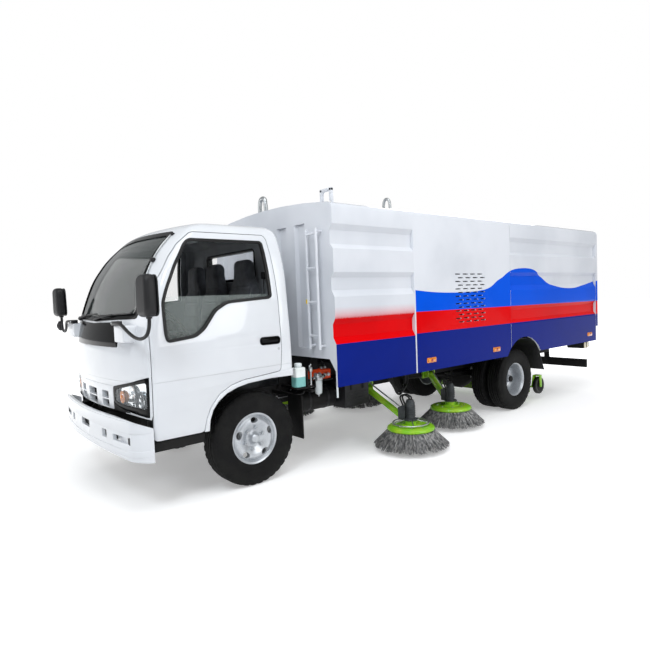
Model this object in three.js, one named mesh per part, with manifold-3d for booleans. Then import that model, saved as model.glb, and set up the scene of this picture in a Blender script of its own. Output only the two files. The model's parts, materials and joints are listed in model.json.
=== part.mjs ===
// Compact street cleaning truck: cab-over chassis, water tank, engine bay,
// tipping hopper, four lifting side brushes and a trailing suction nozzle.
// Millimetres. X to the vehicle's left, Y to the rear, Z up.
// Stations along Y are counted from the front axle until the last group,
// which moves the origin to the middle of the footprint on the ground.
import * as THREE from "three";
import { mergeVertices } from "three/addons/utils/BufferGeometryUtils.js";
import Module from "manifold-3d";

const wasm = await Module();
wasm.setup();

// ---- driving sizes -------------------------------------------------------
const wheelbase = 3815;
const drawnWheelbase = 3815; // the stations between the axles are drawn for this one
const frontTrack = 1504;
const rearTrack = 1425;
const twinSpacing = 235;
const tyreRadius = 387.5;
const tyreWidth = 200;
const beadRadius = 205;
const flangeRadius = 222;
const rimWidth = 150;
const rimSheet = 8;
const spindleRadius = 38;

const bumperFront = -1080;
const bumperHalf = 930;
const bumperSheet = 25;
const bumperLow = 430;
const bumperHigh = 716;

const cabBack = 350;
const cabFloor = 740;
const cabWall = 42;
const cabFrontEdge = 742;
const cabTiltAxis = { y: -1010, z: 560 };

const frameHalf = 370;
const frameDepth = 170;
const frameTop = 700;
const frameFlange = 70;
const frameSheet = 9;
const frameFront = -1004;
const frameBack = 5690;

const beamHeight = 160;
const beamInner = frameHalf - 80;
const beamOuter = frameHalf + 10;
const tiltLugX = frameHalf - 86; // inner face of the lug that carries the cab

const cabToBody = 367;
const tankLength = 1037;
const bayLength = 1740;
const hopperLength = 2357;
const bodyHalf = 1060;
const skirtHeight = 732;
const floorHeight = 973;
const floorSheet = 30;
const eaveHeight = 2345;
const roofCamber = 68;
const eaveRadius = 60;
const bodySheet = 20;
const grooveDepth = 36;
const louvreRows = 14;
const louvreColumns = 4;
const louvrePitch = 39.7;
const louvreLength = 90;
const louvreGap = 45;
const louvreSlot = 12;

const doorThickness = 60;
const hopperHingeBehind = 91; // tip axis to the rear face of the body
const hopperHingeHeight = 900;

const archRadius = 462;
const brushRadius = 365;
const brushPlateRadius = 225;
const brushTipHeight = 40;
const brushPlateHeight = 220;
const headHeight = 310; // lower pin of the brush head
const armDrop = 235;
const armPivotHeight = headHeight + armDrop;
const linkRise = 80;
const headOffset = 95;
// The brushes share the room between the axles, and each arm starts at the rail.
const longer = wheelbase - drawnWheelbase;
const brushSets = [
  { place: "front", x: 1070, y: 1630 + 0.45 * longer, reach: 870 - frameHalf, turn: 9.5 },
  { place: "rear", x: 800, y: 2620 + 0.7 * longer, reach: 743 - frameHalf, turn: -15 },
];

const nozzleHalf = 700;
const nozzleAxis = { y: 4120, z: 500 };
const ductY = 4400;
const ductRadius = 138;
const ductSheet = 8;
const ductLow = 385;
const neckRadius = 92;
const casterRadius = 117;
const casterX = 800;
const casterY = 4570;
const casterZ = 200;

const touch = 0.3; // gap between pieces that bear on each other
const running = 0.8; // radial gap round a pin
const clear = 5; // gap between a moving piece and the rest

const frameHeight = frameTop - frameDepth;
const beamTop = frameTop + beamHeight;
const bodyFront = cabBack + cabToBody;
const tankBack = bodyFront + tankLength;
const bayBack = tankBack + bayLength;
const bodyBack = bayBack + hopperLength;
const hopperHinge = { y: bodyBack - hopperHingeBehind, z: hopperHingeHeight };
const originY = (bumperFront + bodyBack) / 2;

// ---- paints and finishes ---------------------------------------------------
const finish = (color, roughness, metalness) => ({ color, roughness, metalness });
const whitePaint = finish(0xe6e9ec, 0.35, 0);
const bluePaint = finish(0x0c2f8f, 0.35, 0);
const greenPaint = finish(0x8fbf2e, 0.4, 0);
const frameBlack = finish(0x17181a, 0.6, 0.1);
const plasticBlack = finish(0x1b1c1e, 0.55, 0);
const rubber = finish(0x141414, 0.9, 0);
const wheelSilver = finish(0xb4b8bb, 0.45, 0.6);
const castIron = finish(0x3a3c3e, 0.7, 0.4);
const bristle = finish(0x3b3d42, 0.95, 0);
const palePaint = finish(0xd9dcb4, 0.5, 0.1);
const clearGlass = finish(0x86a39a, 0.08, 0);
const lampGlass = finish(0xc9ced2, 0.12, 0);
const seatCloth = finish(0x2a2b2e, 0.9, 0);
const valvePaint = finish(0xd8501e, 0.5, 0);

// ---- shapes ---------------------------------------------------------------
// A closed geometry as a solid that faces outwards.
function solidOf(geometry) {
  const bare = geometry.clone();
  bare.deleteAttribute("normal");
  bare.deleteAttribute("uv");
  const merged = mergeVertices(bare, 1e-3);
  const triVerts = new Uint32Array(merged.index.array);
  const vertProperties = merged.attributes.position.array;
  const make = () =>
    new wasm.Manifold(new wasm.Mesh({ numProp: 3, vertProperties, triVerts }));
  const made = make();
  if (made.volume() > 0) return made;
  for (let i = 0; i < triVerts.length; i += 3)
    [triVerts[i + 1], triVerts[i + 2]] = [triVerts[i + 2], triVerts[i + 1]];
  return make();
}

function geometryOf(solid) {
  const mesh = solid.getMesh();
  const geometry = new THREE.BufferGeometry();
  const points = new Float32Array(mesh.numVert * 3);
  for (let i = 0; i < mesh.numVert; i++)
    for (let k = 0; k < 3; k++)
      points[3 * i + k] = mesh.vertProperties[mesh.numProp * i + k];
  geometry.setAttribute("position", new THREE.BufferAttribute(points, 3));
  geometry.setIndex(new THREE.BufferAttribute(new Uint32Array(mesh.triVerts), 1));
  return geometry;
}

const moved = (solid, matrix) => solidOf(geometryOf(solid).applyMatrix4(matrix));
const mirrored = (solid) => moved(solid, new THREE.Matrix4().makeScale(-1, 1, 1));
const shifted = (solid, x, y, z) =>
  moved(solid, new THREE.Matrix4().makeTranslation(x, y, z));
const join = (...solids) => solids.reduce((a, b) => a.add(b));
const cut = (solid, ...tools) => tools.reduce((a, b) => a.subtract(b), solid);
const bothSides = (solid) => solid.add(mirrored(solid));

function block(x0, x1, y0, y1, z0, z1) {
  const box = new THREE.BoxGeometry(x1 - x0, y1 - y0, z1 - z0);
  box.translate((x0 + x1) / 2, (y0 + y1) / 2, (z0 + z1) / 2);
  return solidOf(box);
}

function outlineOf(points) {
  return new THREE.Shape(points.map(([a, b]) => new THREE.Vector2(a, b)));
}

const extruded = (points, depth) =>
  new THREE.ExtrudeGeometry(outlineOf(points), { depth, bevelEnabled: false });

// An outline in Y and Z, run from x0 to x1.
function across(points, x0, x1) {
  const geometry = extruded(points, x1 - x0);
  const basis = new THREE.Matrix4().makeBasis(
    new THREE.Vector3(0, 1, 0),
    new THREE.Vector3(0, 0, 1),
    new THREE.Vector3(1, 0, 0),
  );
  geometry.applyMatrix4(basis);
  geometry.translate(x0, 0, 0);
  return solidOf(geometry);
}

// An outline in X and Z, run from y0 to y1.
function along(points, y0, y1) {
  const geometry = extruded(points, y1 - y0);
  const basis = new THREE.Matrix4().makeBasis(
    new THREE.Vector3(1, 0, 0),
    new THREE.Vector3(0, 0, 1),
    new THREE.Vector3(0, -1, 0),
  );
  geometry.applyMatrix4(basis);
  geometry.translate(0, y1, 0);
  return solidOf(geometry);
}

// An outline in X and Y, run from z0 to z1.
function upward(points, z0, z1) {
  const geometry = extruded(points, z1 - z0);
  geometry.translate(0, 0, z0);
  return solidOf(geometry);
}

// A profile of [place on the axis, radius] turned about X.
function turnedX(profile, sides) {
  const points = profile.map(([a, r]) => new THREE.Vector2(r, a));
  const geometry = new THREE.LatheGeometry(points, sides);
  geometry.rotateZ(-Math.PI / 2);
  return solidOf(geometry);
}

// A profile of [height, radius] turned about Z.
function turnedZ(profile, sides) {
  const points = profile.map(([a, r]) => new THREE.Vector2(r, a));
  const geometry = new THREE.LatheGeometry(points, sides);
  geometry.rotateX(Math.PI / 2);
  return solidOf(geometry);
}

// A round bar between two points.
function bar(from, to, radius, sides = 12, phase = 0) {
  const a = new THREE.Vector3(...from);
  const b = new THREE.Vector3(...to);
  const geometry = new THREE.CylinderGeometry(radius, radius, a.distanceTo(b), sides);
  geometry.rotateY(phase);
  const way = b.clone().sub(a).normalize();
  const turn = new THREE.Quaternion();
  turn.setFromUnitVectors(new THREE.Vector3(0, 1, 0), way);
  geometry.applyQuaternion(turn);
  const middle = a.add(b).multiplyScalar(0.5);
  geometry.translate(middle.x, middle.y, middle.z);
  return solidOf(geometry);
}

// The hole round a pin, as a tool to cut with: its flats face the pin's corners and
// keep the running gap.
const pinSides = 8;
const bore = (from, to, radius, sides = pinSides) =>
  bar(from, to, (radius + running) / Math.cos(Math.PI / sides), sides, Math.PI / sides);
const pin = (from, to, radius, sides = pinSides) => bar(from, to, radius, sides);

// A bent round tube through the given points.
function pipe(points, radius, steps, sides = 10) {
  const section = new THREE.Shape();
  section.absarc(0, 0, radius, 0, Math.PI * 2);
  const path = new THREE.CatmullRomCurve3(
    points.map((p) => new THREE.Vector3(...p)),
    false,
    "centripetal",
  );
  const geometry = new THREE.ExtrudeGeometry(section, {
    steps,
    curveSegments: sides / 2,
    bevelEnabled: false,
    extrudePath: path,
  });
  return solidOf(geometry);
}

// Horizontal outlines, each a ring of [x, y] with as many points, skinned
// from the lowest to the highest and closed at both ends.
function loft(levels) {
  const count = levels[0].ring.length;
  const position = [];
  const index = [];
  for (const { z, ring } of levels) for (const [x, y] of ring) position.push(x, y, z);
  for (let level = 0; level + 1 < levels.length; level++)
    for (let i = 0; i < count; i++) {
      const a = level * count + i;
      const b = level * count + ((i + 1) % count);
      index.push(a, b, b + count, a, b + count, a + count);
    }
  const cap = (ring, offset, flip) => {
    const faces = THREE.ShapeUtils.triangulateShape(
      ring.map(([x, y]) => new THREE.Vector2(x, y)),
      [],
    );
    for (const [a, b, c] of faces)
      index.push(offset + a, offset + (flip ? c : b), offset + (flip ? b : c));
  };
  cap(levels[0].ring, 0, true);
  cap(levels.at(-1).ring, count * (levels.length - 1), false);
  const geometry = new THREE.BufferGeometry();
  geometry.setAttribute("position", new THREE.Float32BufferAttribute(position, 3));
  geometry.setIndex(index);
  return solidOf(geometry);
}

// The outline moved inwards by a margin on every side.
function inset(points, margin) {
  const turn = Math.sign(THREE.ShapeUtils.area(
    points.map(([a, b]) => new THREE.Vector2(a, b)),
  ));
  const count = points.length;
  return points.map((point, i) => {
    const before = points[(i + count - 1) % count];
    const after = points[(i + 1) % count];
    const one = new THREE.Vector2(point[0] - before[0], point[1] - before[1]);
    const two = new THREE.Vector2(after[0] - point[0], after[1] - point[1]);
    one.normalize();
    two.normalize();
    const bend = 1 + one.dot(two);
    const x = (-(one.y + two.y) * turn * margin) / bend;
    const y = ((one.x + two.x) * turn * margin) / bend;
    return [point[0] + x, point[1] + y];
  });
}

// ---- the scene graph ---------------------------------------------------------
const truck = new THREE.Group();

function group(parent, x, y, z) {
  const made = new THREE.Group();
  made.position.set(x, y, z);
  parent.add(made);
  return made;
}

function piece(parent, name, solid, look) {
  const geometry = geometryOf(solid);
  geometry.computeVertexNormals();
  const mesh = new THREE.Mesh(geometry, new THREE.MeshStandardMaterial(look));
  mesh.name = name;
  parent.add(mesh);
  return mesh;
}

const chassis = group(truck, 0, 0, 0);
const cab = group(truck, 0, 0, 0);
const hopper = group(truck, 0, 0, 0);
const sides = [
  { side: "left", sign: 1 },
  { side: "right", sign: -1 },
];

// ---- chassis frame -------------------------------------------------------------
{
  const web = [
    [frameHalf, frameHeight],
    [frameHalf, frameTop],
    [frameHalf - frameFlange, frameTop],
    [frameHalf - frameFlange, frameTop - frameSheet],
    [frameHalf - frameSheet, frameTop - frameSheet],
    [frameHalf - frameSheet, frameHeight + frameSheet],
    [frameHalf - frameFlange, frameHeight + frameSheet],
    [frameHalf - frameFlange, frameHeight],
  ];
  const crossMembers = [-760, 1300, 2050, 2900, 3350, nozzleAxis.y + 60, 4950, 5640];
  const memberSize = { wide: 60, low: 112, high: 160 };
  let frame = bothSides(along(web, frameFront, frameBack));
  for (const y of crossMembers) {
    const inner = frameHalf - frameSheet + 1;
    frame = frame.add(
      block(
        -inner, inner, y - memberSize.wide / 2, y + memberSize.wide / 2,
        frameHeight + memberSize.low, frameHeight + memberSize.high,
      ),
    );
  }
  // Underrun bar and lamp bar hang on the ends of the rails.
  const barHalf = 946;
  const barY = frameBack + 25;
  const hanger = across(
    [
      [frameBack - 5, frameHeight + 20],
      [frameBack - 5, frameTop],
      [frameBack + 20, frameTop],
      [frameBack + 40, 447],
      [frameBack + 40, 340],
      [frameBack + 5, 340],
      [frameBack + 5, 447],
    ],
    frameHalf - frameFlange,
    frameHalf,
  );
  const lamp = join(
    block(845, 955, barY + 24, barY + 66, 628, 704),
    block(855, 945, barY + 65, barY + 72, 636, 696),
  );
  const bars = join(
    block(-barHalf, barHalf, barY - 18, barY + 25, 328, 447),
    block(-950, 950, barY - 8, barY + 25, 655, 695),
    bothSides(hanger),
    bothSides(lamp),
  );
  // Pins at the nose carry the cab, pins under a cross member the nozzle arms.
  const tiltLug = join(
    across(
      [
        [cabTiltAxis.y - 26, cabTiltAxis.z - 26],
        [cabTiltAxis.y - 26, cabTiltAxis.z + 24],
        [frameFront + 44, frameHeight + 90],
        [frameFront + 44, frameHeight + 1],
      ],
      tiltLugX,
      tiltLugX + 15,
    ),
    block(tiltLugX, tiltLugX + 46, frameFront + 10, frameFront + 44, frameHeight + 1, frameHeight + 16),
    pin([tiltLugX - 41, cabTiltAxis.y, cabTiltAxis.z],
      [tiltLugX + 6, cabTiltAxis.y, cabTiltAxis.z], 18),
  );
  const nozzleLug = join(
    across(
      [
        [nozzleAxis.y - 24, nozzleAxis.z - 24],
        [nozzleAxis.y + 20, nozzleAxis.z - 24],
        [nozzleAxis.y + 88, frameHeight + memberSize.low + 8],
        [nozzleAxis.y + 32, frameHeight + memberSize.low + 8],
      ],
      158,
      174,
    ),
    pin([160, nozzleAxis.y, nozzleAxis.z], [214, nozzleAxis.y, nozzleAxis.z], 16),
  );
  // A rubber flap hangs behind each front wheel from an arm on the rail.
  const flap = join(
    block(frameHalf - 4, 660, 486, 516, frameTop - 60, frameTop - 30),
    block(640, 850, 474, 486, 290, frameTop - 30),
  );
  const lugs = bothSides(join(tiltLug, nozzleLug, flap));
  piece(chassis, "chassis_frame", join(frame, bars, lugs), frameBlack);
}

// ---- sub-frame under the bodies, with the brush brackets and the suction duct ------
const bearerTop = floorHeight - clear;
const armPivot = ({ x, y, reach, turn }) => {
  const angle = THREE.MathUtils.degToRad(turn);
  return [x - reach * Math.cos(angle), y - reach * Math.sin(angle), angle];
};
const forkGap = 70; // between the two cheeks that hold an arm
const cheek = 12;
const pinRadius = 12;
const linkPinRadius = 10;
{
  const beamStart = bodyFront + 40;
  const beamEnd = frameBack - 6;
  let subframe = bothSides(
    block(beamInner, beamOuter, beamStart, beamEnd, frameTop + touch, beamTop),
  );
  const bearers = [beamStart + 40, 1300, 1900, 2500, 3300, 3640, ductY, 4850, 5300];
  for (const y of bearers) {
    const top = y > bayBack ? bearerTop : floorHeight - touch;
    const half = Math.abs(y - wheelbase) < 500 ? 460 : 640;
    subframe = subframe.add(block(-half, half, y - 35, y + 35, beamTop - 30, top));
  }
  const lug = across(
    [
      [beamEnd - 60, beamTop - 60],
      [hopperHinge.y + 20, hopperHinge.z - 45],
      [hopperHinge.y + 38, hopperHinge.z],
      [hopperHinge.y, hopperHinge.z + 36],
      [hopperHinge.y - 40, hopperHinge.z + 30],
      [beamEnd - 60, beamTop - 5],
    ],
    beamOuter - 40,
    beamOuter,
  );
  const hingePin = pin(
    [beamOuter - 20, hopperHinge.y, hopperHinge.z],
    [beamOuter + 45, hopperHinge.y, hopperHinge.z],
    25,
  );
  subframe = subframe.add(bothSides(join(lug, hingePin)));
  // Each brush hangs on two cheeks, welded to a plate outside the frame rail.
  for (const set of brushSets) {
    const [px, py, angle] = armPivot(set);
    const half = forkGap / 2;
    const plate = across(
      [
        [-half - 40, frameHeight - 30],
        [half + 40, frameHeight - 30],
        [half + 40, beamTop - 30],
        [-half - 40, beamTop - 30],
      ],
      0,
      16,
    );
    const cheekPlate = along(
      [
        [0, beamTop - 110],
        [0, frameHeight - 25],
        [px - beamOuter - 10, armPivotHeight - 32],
        [px - beamOuter + 26, armPivotHeight - 20],
        [px - beamOuter + 26, armPivotHeight + linkRise + 22],
        [px - beamOuter - 10, armPivotHeight + linkRise + 34],
      ],
      half,
      half + cheek,
    );
    const turned = new THREE.Matrix4().makeRotationZ(angle);
    const cheeks = cheekPlate.add(
      moved(cheekPlate, new THREE.Matrix4().makeTranslation(0, -forkGap - cheek, 0)),
    );
    const pins = join(
      pin([px - beamOuter, -half - cheek / 2, armPivotHeight],
        [px - beamOuter, half + cheek / 2, armPivotHeight], pinRadius),
      pin([px - beamOuter, -half - cheek / 2, armPivotHeight + linkRise],
        [px - beamOuter, half + cheek / 2, armPivotHeight + linkRise], linkPinRadius),
    );
    const fork = shifted(join(cheeks, pins), -(px - beamOuter), 0, 0);
    const placed = shifted(moved(fork, turned), px, py, 0);
    const root = shifted(plate, frameHalf + touch, py, 0);
    const trimmed = cut(placed, block(-900, frameHalf + touch, 0, 5000, 0, beamTop));
    subframe = subframe.add(bothSides(join(trimmed, root)));
  }
  // The suction duct drops from the hopper floor round the neck of the nozzle.
  const duct = bar([0, ductY, ductLow], [0, ductY, bearerTop], ductRadius, 12);
  const ductBore = bar([0, ductY, ductLow - 10], [0, ductY, bearerTop + 10],
    ductRadius - ductSheet, 12);
  piece(chassis, "subframe", cut(join(subframe, duct), ductBore), greenPaint);
}

// ---- powertrain --------------------------------------------------------------
{
  const engine = join(
    across(
      [
        [-330, 470],
        [-330, 800],
        [-260, 860],
        [420, 860],
        [470, 800],
        [560, 760],
        [560, 450],
        [300, 405],
        [-240, 405],
      ],
      -215,
      215,
    ),
    block(-285, 285, -395, -329, 470, 790),
    across(
      [
        [550, 470],
        [550, 740],
        [900, 690],
        [1090, 640],
        [1090, 560],
        [900, 480],
      ],
      -140,
      140,
    ),
    block(214, frameHalf - frameSheet - touch, 380, 450, 560, 620),
    block(-(frameHalf - frameSheet - touch), -214, 380, 450, 560, 620),
    bar([0, 1080, 600], [0, 1140, 600], 62, 16),
  );
  piece(chassis, "engine_gearbox", engine, castIron);
}

// ---- front axle, springs and knuckles ---------------------------------------------
const kingpinX = frontTrack / 2 - 128;
const kingpinRadius = 18;
const axleEyeHalf = 42;
{
  const beam = join(
    across([[-32, 300], [32, 300], [40, 365], [-40, 365]], -(kingpinX - 60), kingpinX - 60),
    bothSides(
      join(
        along(
          [
            [kingpinX - 90, 300],
            [kingpinX - 30, tyreRadius - axleEyeHalf],
            [kingpinX - 30, tyreRadius + axleEyeHalf],
            [kingpinX - 110, 365],
          ],
          -34,
          34,
        ),
        bar([kingpinX, 0, tyreRadius - axleEyeHalf], [kingpinX, 0, tyreRadius + axleEyeHalf],
          36, 12),
        pin([kingpinX, 0, tyreRadius - axleEyeHalf - 50],
          [kingpinX, 0, tyreRadius + axleEyeHalf + 50], kingpinRadius),
      ),
    ),
  );
  const springHalf = 560;
  const spring = across(
    [
      [-springHalf, 470],
      [-springHalf, frameHeight - touch],
      [-springHalf + 50, frameHeight - touch],
      [-springHalf + 60, 466],
      [-260, 424],
      [0, 410],
      [260, 424],
      [springHalf - 60, 466],
      [springHalf - 50, frameHeight - touch],
      [springHalf, frameHeight - touch],
      [springHalf, 470],
      [260, 396],
      [120, 364],
      [-120, 364],
      [-260, 396],
    ],
    frameHalf - 72,
    frameHalf - 4,
  );
  piece(chassis, "front_axle", beam.add(bothSides(spring)), frameBlack);
}

// ---- rear axle, springs and propeller shaft -----------------------------------------
const rearTyreOuter = (rearTrack + twinSpacing) / 2;
const rearTyreInner = (rearTrack - twinSpacing) / 2;
{
  const y = wheelbase;
  const housing = turnedX(
    [
      [-470, 0],
      [-470, 72],
      [-260, 72],
      [-170, 150],
      [-90, 195],
      [90, 195],
      [170, 150],
      [260, 72],
      [470, 72],
      [470, 0],
    ],
    12,
  );
  const spindle = turnedX(
    [
      [460, 0],
      [460, spindleRadius],
      [rearTyreOuter + 20, spindleRadius],
      [rearTyreOuter + 20, 0],
    ],
    16,
  );
  const springHalf = 610;
  const spring = across(
    [
      [-springHalf, 462],
      [-springHalf, frameHeight - touch],
      [-springHalf + 50, frameHeight - touch],
      [-springHalf + 60, 480],
      [-280, 476],
      [0, 470],
      [280, 476],
      [springHalf - 60, 480],
      [springHalf - 50, frameHeight - touch],
      [springHalf, frameHeight - touch],
      [springHalf, 462],
      [280, 430],
      [120, 400],
      [-120, 400],
      [-280, 430],
    ],
    frameHalf - 72,
    frameHalf - 4,
  );
  // The shaft slopes, so its end stands off the flange by more than its corner leans.
  const shaftRadius = 36;
  const flangeY = 1140;
  const lean = (shaftRadius * (600 - tyreRadius - 29)) / (y - 250 - flangeY);
  const shaftGap = Math.max(3.2, lean + touch);
  const axle = join(
    shifted(join(housing, spindle, mirrored(spindle)), 0, y, tyreRadius),
    shifted(bothSides(spring), 0, y, 0),
    bar([0, y - 120, tyreRadius + 20], [0, y - 260, tyreRadius + 30], 70, 16),
    bar([0, y - 250, tyreRadius + 29], [0, flangeY + shaftGap, 600], shaftRadius, 12),
  );
  piece(chassis, "rear_axle", axle, frameBlack);
}

// ---- fuel tank and service equipment ---------------------------------------------
{
  const tank = along(
    [
      [-frameHalf - touch - 30, 420],
      [-frameHalf - touch - 330, 420],
      [-frameHalf - touch - 360, 450],
      [-frameHalf - touch - 360, 660],
      [-frameHalf - touch - 330, 690],
      [-frameHalf - touch - 30, 690],
      [-frameHalf - touch, 660],
      [-frameHalf - touch, 450],
    ],
    690,
    1180,
  );
  piece(chassis, "fuel_tank", tank, frameBlack);
  const wall = frameHalf + touch;
  const rack = join(
    block(wall, 880, 560, 600, 690, 712),
    block(wall, wall + 14, 540, 720, 560, 712),
    block(wall + 30, wall + 44, 540, 700, 690, 960),
    block(wall + 30, 700, 540, 700, 690, 712),
    block(760, 880, 400, 600, 705, 930),
    block(795, 845, 440, 520, 925, 958),
    block(470, 640, 600, 700, 705, 830),
    bar([690, 640, 560], [690, 640, 705], 52, 16),
    block(640, 720, 600, 660, 690, 712),
  );
  piece(chassis, "service_rack", rack, valvePaint);
}

// ---- front bumper -------------------------------------------------------------
const bumperRear = -874;
function bumperLine(half, front, cornerX) {
  const line = [];
  const bulge = 64;
  const straight = half - cornerX;
  for (let i = -5; i <= 5; i++) {
    const x = (straight * i) / 5;
    line.push([x, front + bulge * (x / 800) ** 2]);
  }
  return line;
}
{
  const corner = 110;
  const outer = bumperLine(bumperHalf, bumperFront, corner);
  const inner = bumperLine(bumperHalf - bumperSheet, bumperFront + bumperSheet, corner);
  const end = outer.at(-1);
  const bendOut = [
    [bumperHalf - 55, end[1] + 28],
    [bumperHalf - 14, end[1] + 70],
    [bumperHalf, end[1] + 120],
    [bumperHalf, bumperRear],
  ];
  const sheet = bumperSheet;
  const bendIn = [
    [bumperHalf - sheet, bumperRear],
    [bumperHalf - sheet, end[1] + 122],
    [bumperHalf - sheet - 14, end[1] + 84],
    [bumperHalf - sheet - 55, end[1] + 52],
  ];
  const flip = ([x, y]) => [-x, y];
  const plan = [
    ...outer,
    ...bendOut,
    ...bendIn,
    ...inner.toReversed(),
    ...bendIn.toReversed().map(flip),
    ...bendOut.toReversed().map(flip),
  ];
  const side = across(
    [
      [bumperFront - 10, bumperLow + 30],
      [bumperFront - 10, bumperHigh],
      [bumperFront + 60, bumperHigh],
      [bumperRear, 652],
      [bumperRear, 407],
      [bumperFront + 60, bumperLow],
    ],
    -bumperHalf,
    bumperHalf,
  );
  const slots = [];
  const openings = [
    { x: 130, wide: 200, z: 572, high: 52 },
    { x: 430, wide: 90, z: 571, high: 60 },
    { x: 705, wide: 250, z: 567, high: 60 },
  ];
  for (const { x, wide, z, high } of openings)
    slots.push(
      bothSides(
        block(x - wide / 2, x + wide / 2, bumperFront - 20, bumperFront + 190,
          z - high / 2, z + high / 2),
      ),
    );
  const bracket = block(
    frameHalf - frameFlange, frameHalf,
    bumperFront + 20, frameFront - touch, frameHeight + 30, frameTop - 30,
  );
  const bumper = cut(upward(plan, 400, 740).intersect(side), ...slots);
  piece(chassis, "front_bumper", bumper.add(bothSides(bracket)), whitePaint);
}

// ---- cab skin -----------------------------------------------------------------
// Half width, foremost point, rear wall and corner radius by height.
const cabLevels = [
  { z: 545, half: 905, front: -1000, back: cabBack, corner: 60 },
  { z: 950, half: 928, front: -1010, back: cabBack, corner: 60 },
  { z: 1207, half: 922, front: -1000, back: cabBack, corner: 60 },
  { z: 1417, half: 905, front: -958, back: cabBack, corner: 60 },
  { z: 1701, half: 880, front: -860, back: cabBack - 2, corner: 58 },
  { z: 1860, half: 850, front: -768, back: cabBack - 5, corner: 56 },
  { z: 1960, half: 820, front: -690, back: cabBack - 8, corner: 54 },
  { z: 2057, half: 782, front: -590, back: cabBack - 14, corner: 52 },
  { z: 2112, half: 735, front: -520, back: cabBack - 36, corner: 60 },
  { z: 2145, half: 640, front: -425, back: cabBack - 96, corner: 80 },
  { z: 2160, half: 420, front: -240, back: cabBack - 230, corner: 120 },
];
const frontBow = 122;

function cabRing({ half, front, back, corner }, margin) {
  const w = half - margin;
  const r = Math.max(corner - margin, 12);
  const line = [];
  const flat = w - r;
  const bow = (x) => front + margin + frontBow * (x / half) ** 2;
  for (let i = 0; i <= 4; i++) line.push([(flat * i) / 4, bow((flat * i) / 4)]);
  const edge = bow(flat);
  for (const degrees of [45, 90]) {
    const a = THREE.MathUtils.degToRad(degrees);
    line.push([flat + r * Math.sin(a), edge + r * (1 - Math.cos(a)) + 0.25 * r * Math.sin(a)]);
  }
  const rear = back - margin;
  const rr = 40;
  line.push([w, rear - rr], [w - rr * 0.3, rear - rr * 0.3], [w - rr, rear]);
  const other = line.slice(1).map(([x, y]) => [-x, y]).toReversed();
  return [...line, ...other];
}

function cabSkin(margin) {
  const levels = cabLevels.map((level, i) => {
    const last = i === cabLevels.length - 1;
    const z = level.z - (last || i > 7 ? margin : 0);
    return { z, ring: cabRing(level, margin) };
  });
  return loft(levels);
}

// What lies above this line is cab: the front edge clears the bumper as the
// cab tips, and the step up behind the footwell clears the wheel.
const wheelHouse = [
  [-467, cabFloor],
  [-440, 790],
  [-380, 845],
  [-300, 872],
  [-200, 886],
  [-100, 890],
];
const underside = [
  [-1150, cabFrontEdge + 12],
  [-1150, 2300],
  [cabBack + 100, 2300],
  [cabBack + 100, 884],
  ...wheelHouse.toReversed(),
  [-862, cabFloor],
  [-870, 704],
  [-1006, cabFrontEdge],
];
const insideFloor = cabFloor + 30;
const inside = [
  [-1150, insideFloor + 60],
  [-1150, 2300],
  [cabBack + 100, 2300],
  [cabBack + 100, 925],
  [-100, 930],
  [-330, 915],
  [-440, 870],
  [-510, insideFloor],
  [-900, insideFloor],
];
const cabOuter = cabSkin(0);
const cabShell = cabOuter
  .intersect(across(underside, -1000, 1000))
  .subtract(cabSkin(cabWall).intersect(across(inside, -1000, 1000)));

// ---- cab openings, doors and glass ------------------------------------------------
const doorOutline = [
  [-857, 548],
  [-480, 548],
  [-462, 640],
  [-425, 730],
  [-350, 818],
  [-250, 872],
  [-140, 900],
  [40, 915],
  [215, 930],
  [232, 1100],
  [236, 1530],
  [205, 2020],
  [185, 2052],
  [-455, 2052],
  [-572, 1957],
  [-652, 1857],
  [-748, 1699],
  [-813, 1544],
  [-853, 1339],
  [-860, 1017],
];
const sideWindow = [
  [-752, 1300],
  [-738, 1238],
  [-515, 1263],
  [-440, 1312],
  [-330, 1450],
  [-228, 1504],
  [150, 1528],
  [179, 1545],
  [160, 1985],
  [141, 2001],
  [-490, 2001],
  [-535, 1962],
  [-640, 1795],
  [-718, 1629],
  [-755, 1523],
];
const windscreenOutline = [
  [-726, 1420],
  [0, 1402],
  [726, 1420],
  [738, 1450],
  [604, 2062],
  [560, 2078],
  [0, 2092],
  [-560, 2078],
  [-604, 2062],
  [-738, 1450],
];
const rearWindowOutline = [
  [-440, 1705],
  [440, 1705],
  [465, 1730],
  [465, 1960],
  [440, 1985],
  [-440, 1985],
  [-465, 1960],
  [-465, 1730],
];
const lampOutline = [
  [436, 785],
  [436, 912],
  [690, 958],
  [960, 1020],
  [960, 712],
  [600, 745],
];
const doorHinge = { x: 921, y: -853 };
const faceCut = (outline, to = -878) => along(outline, -1150, to);
const faceZone = (outline, to = -878) => faceCut(inset(outline, touch), to - touch);
const grilleDepth = -945;
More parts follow.
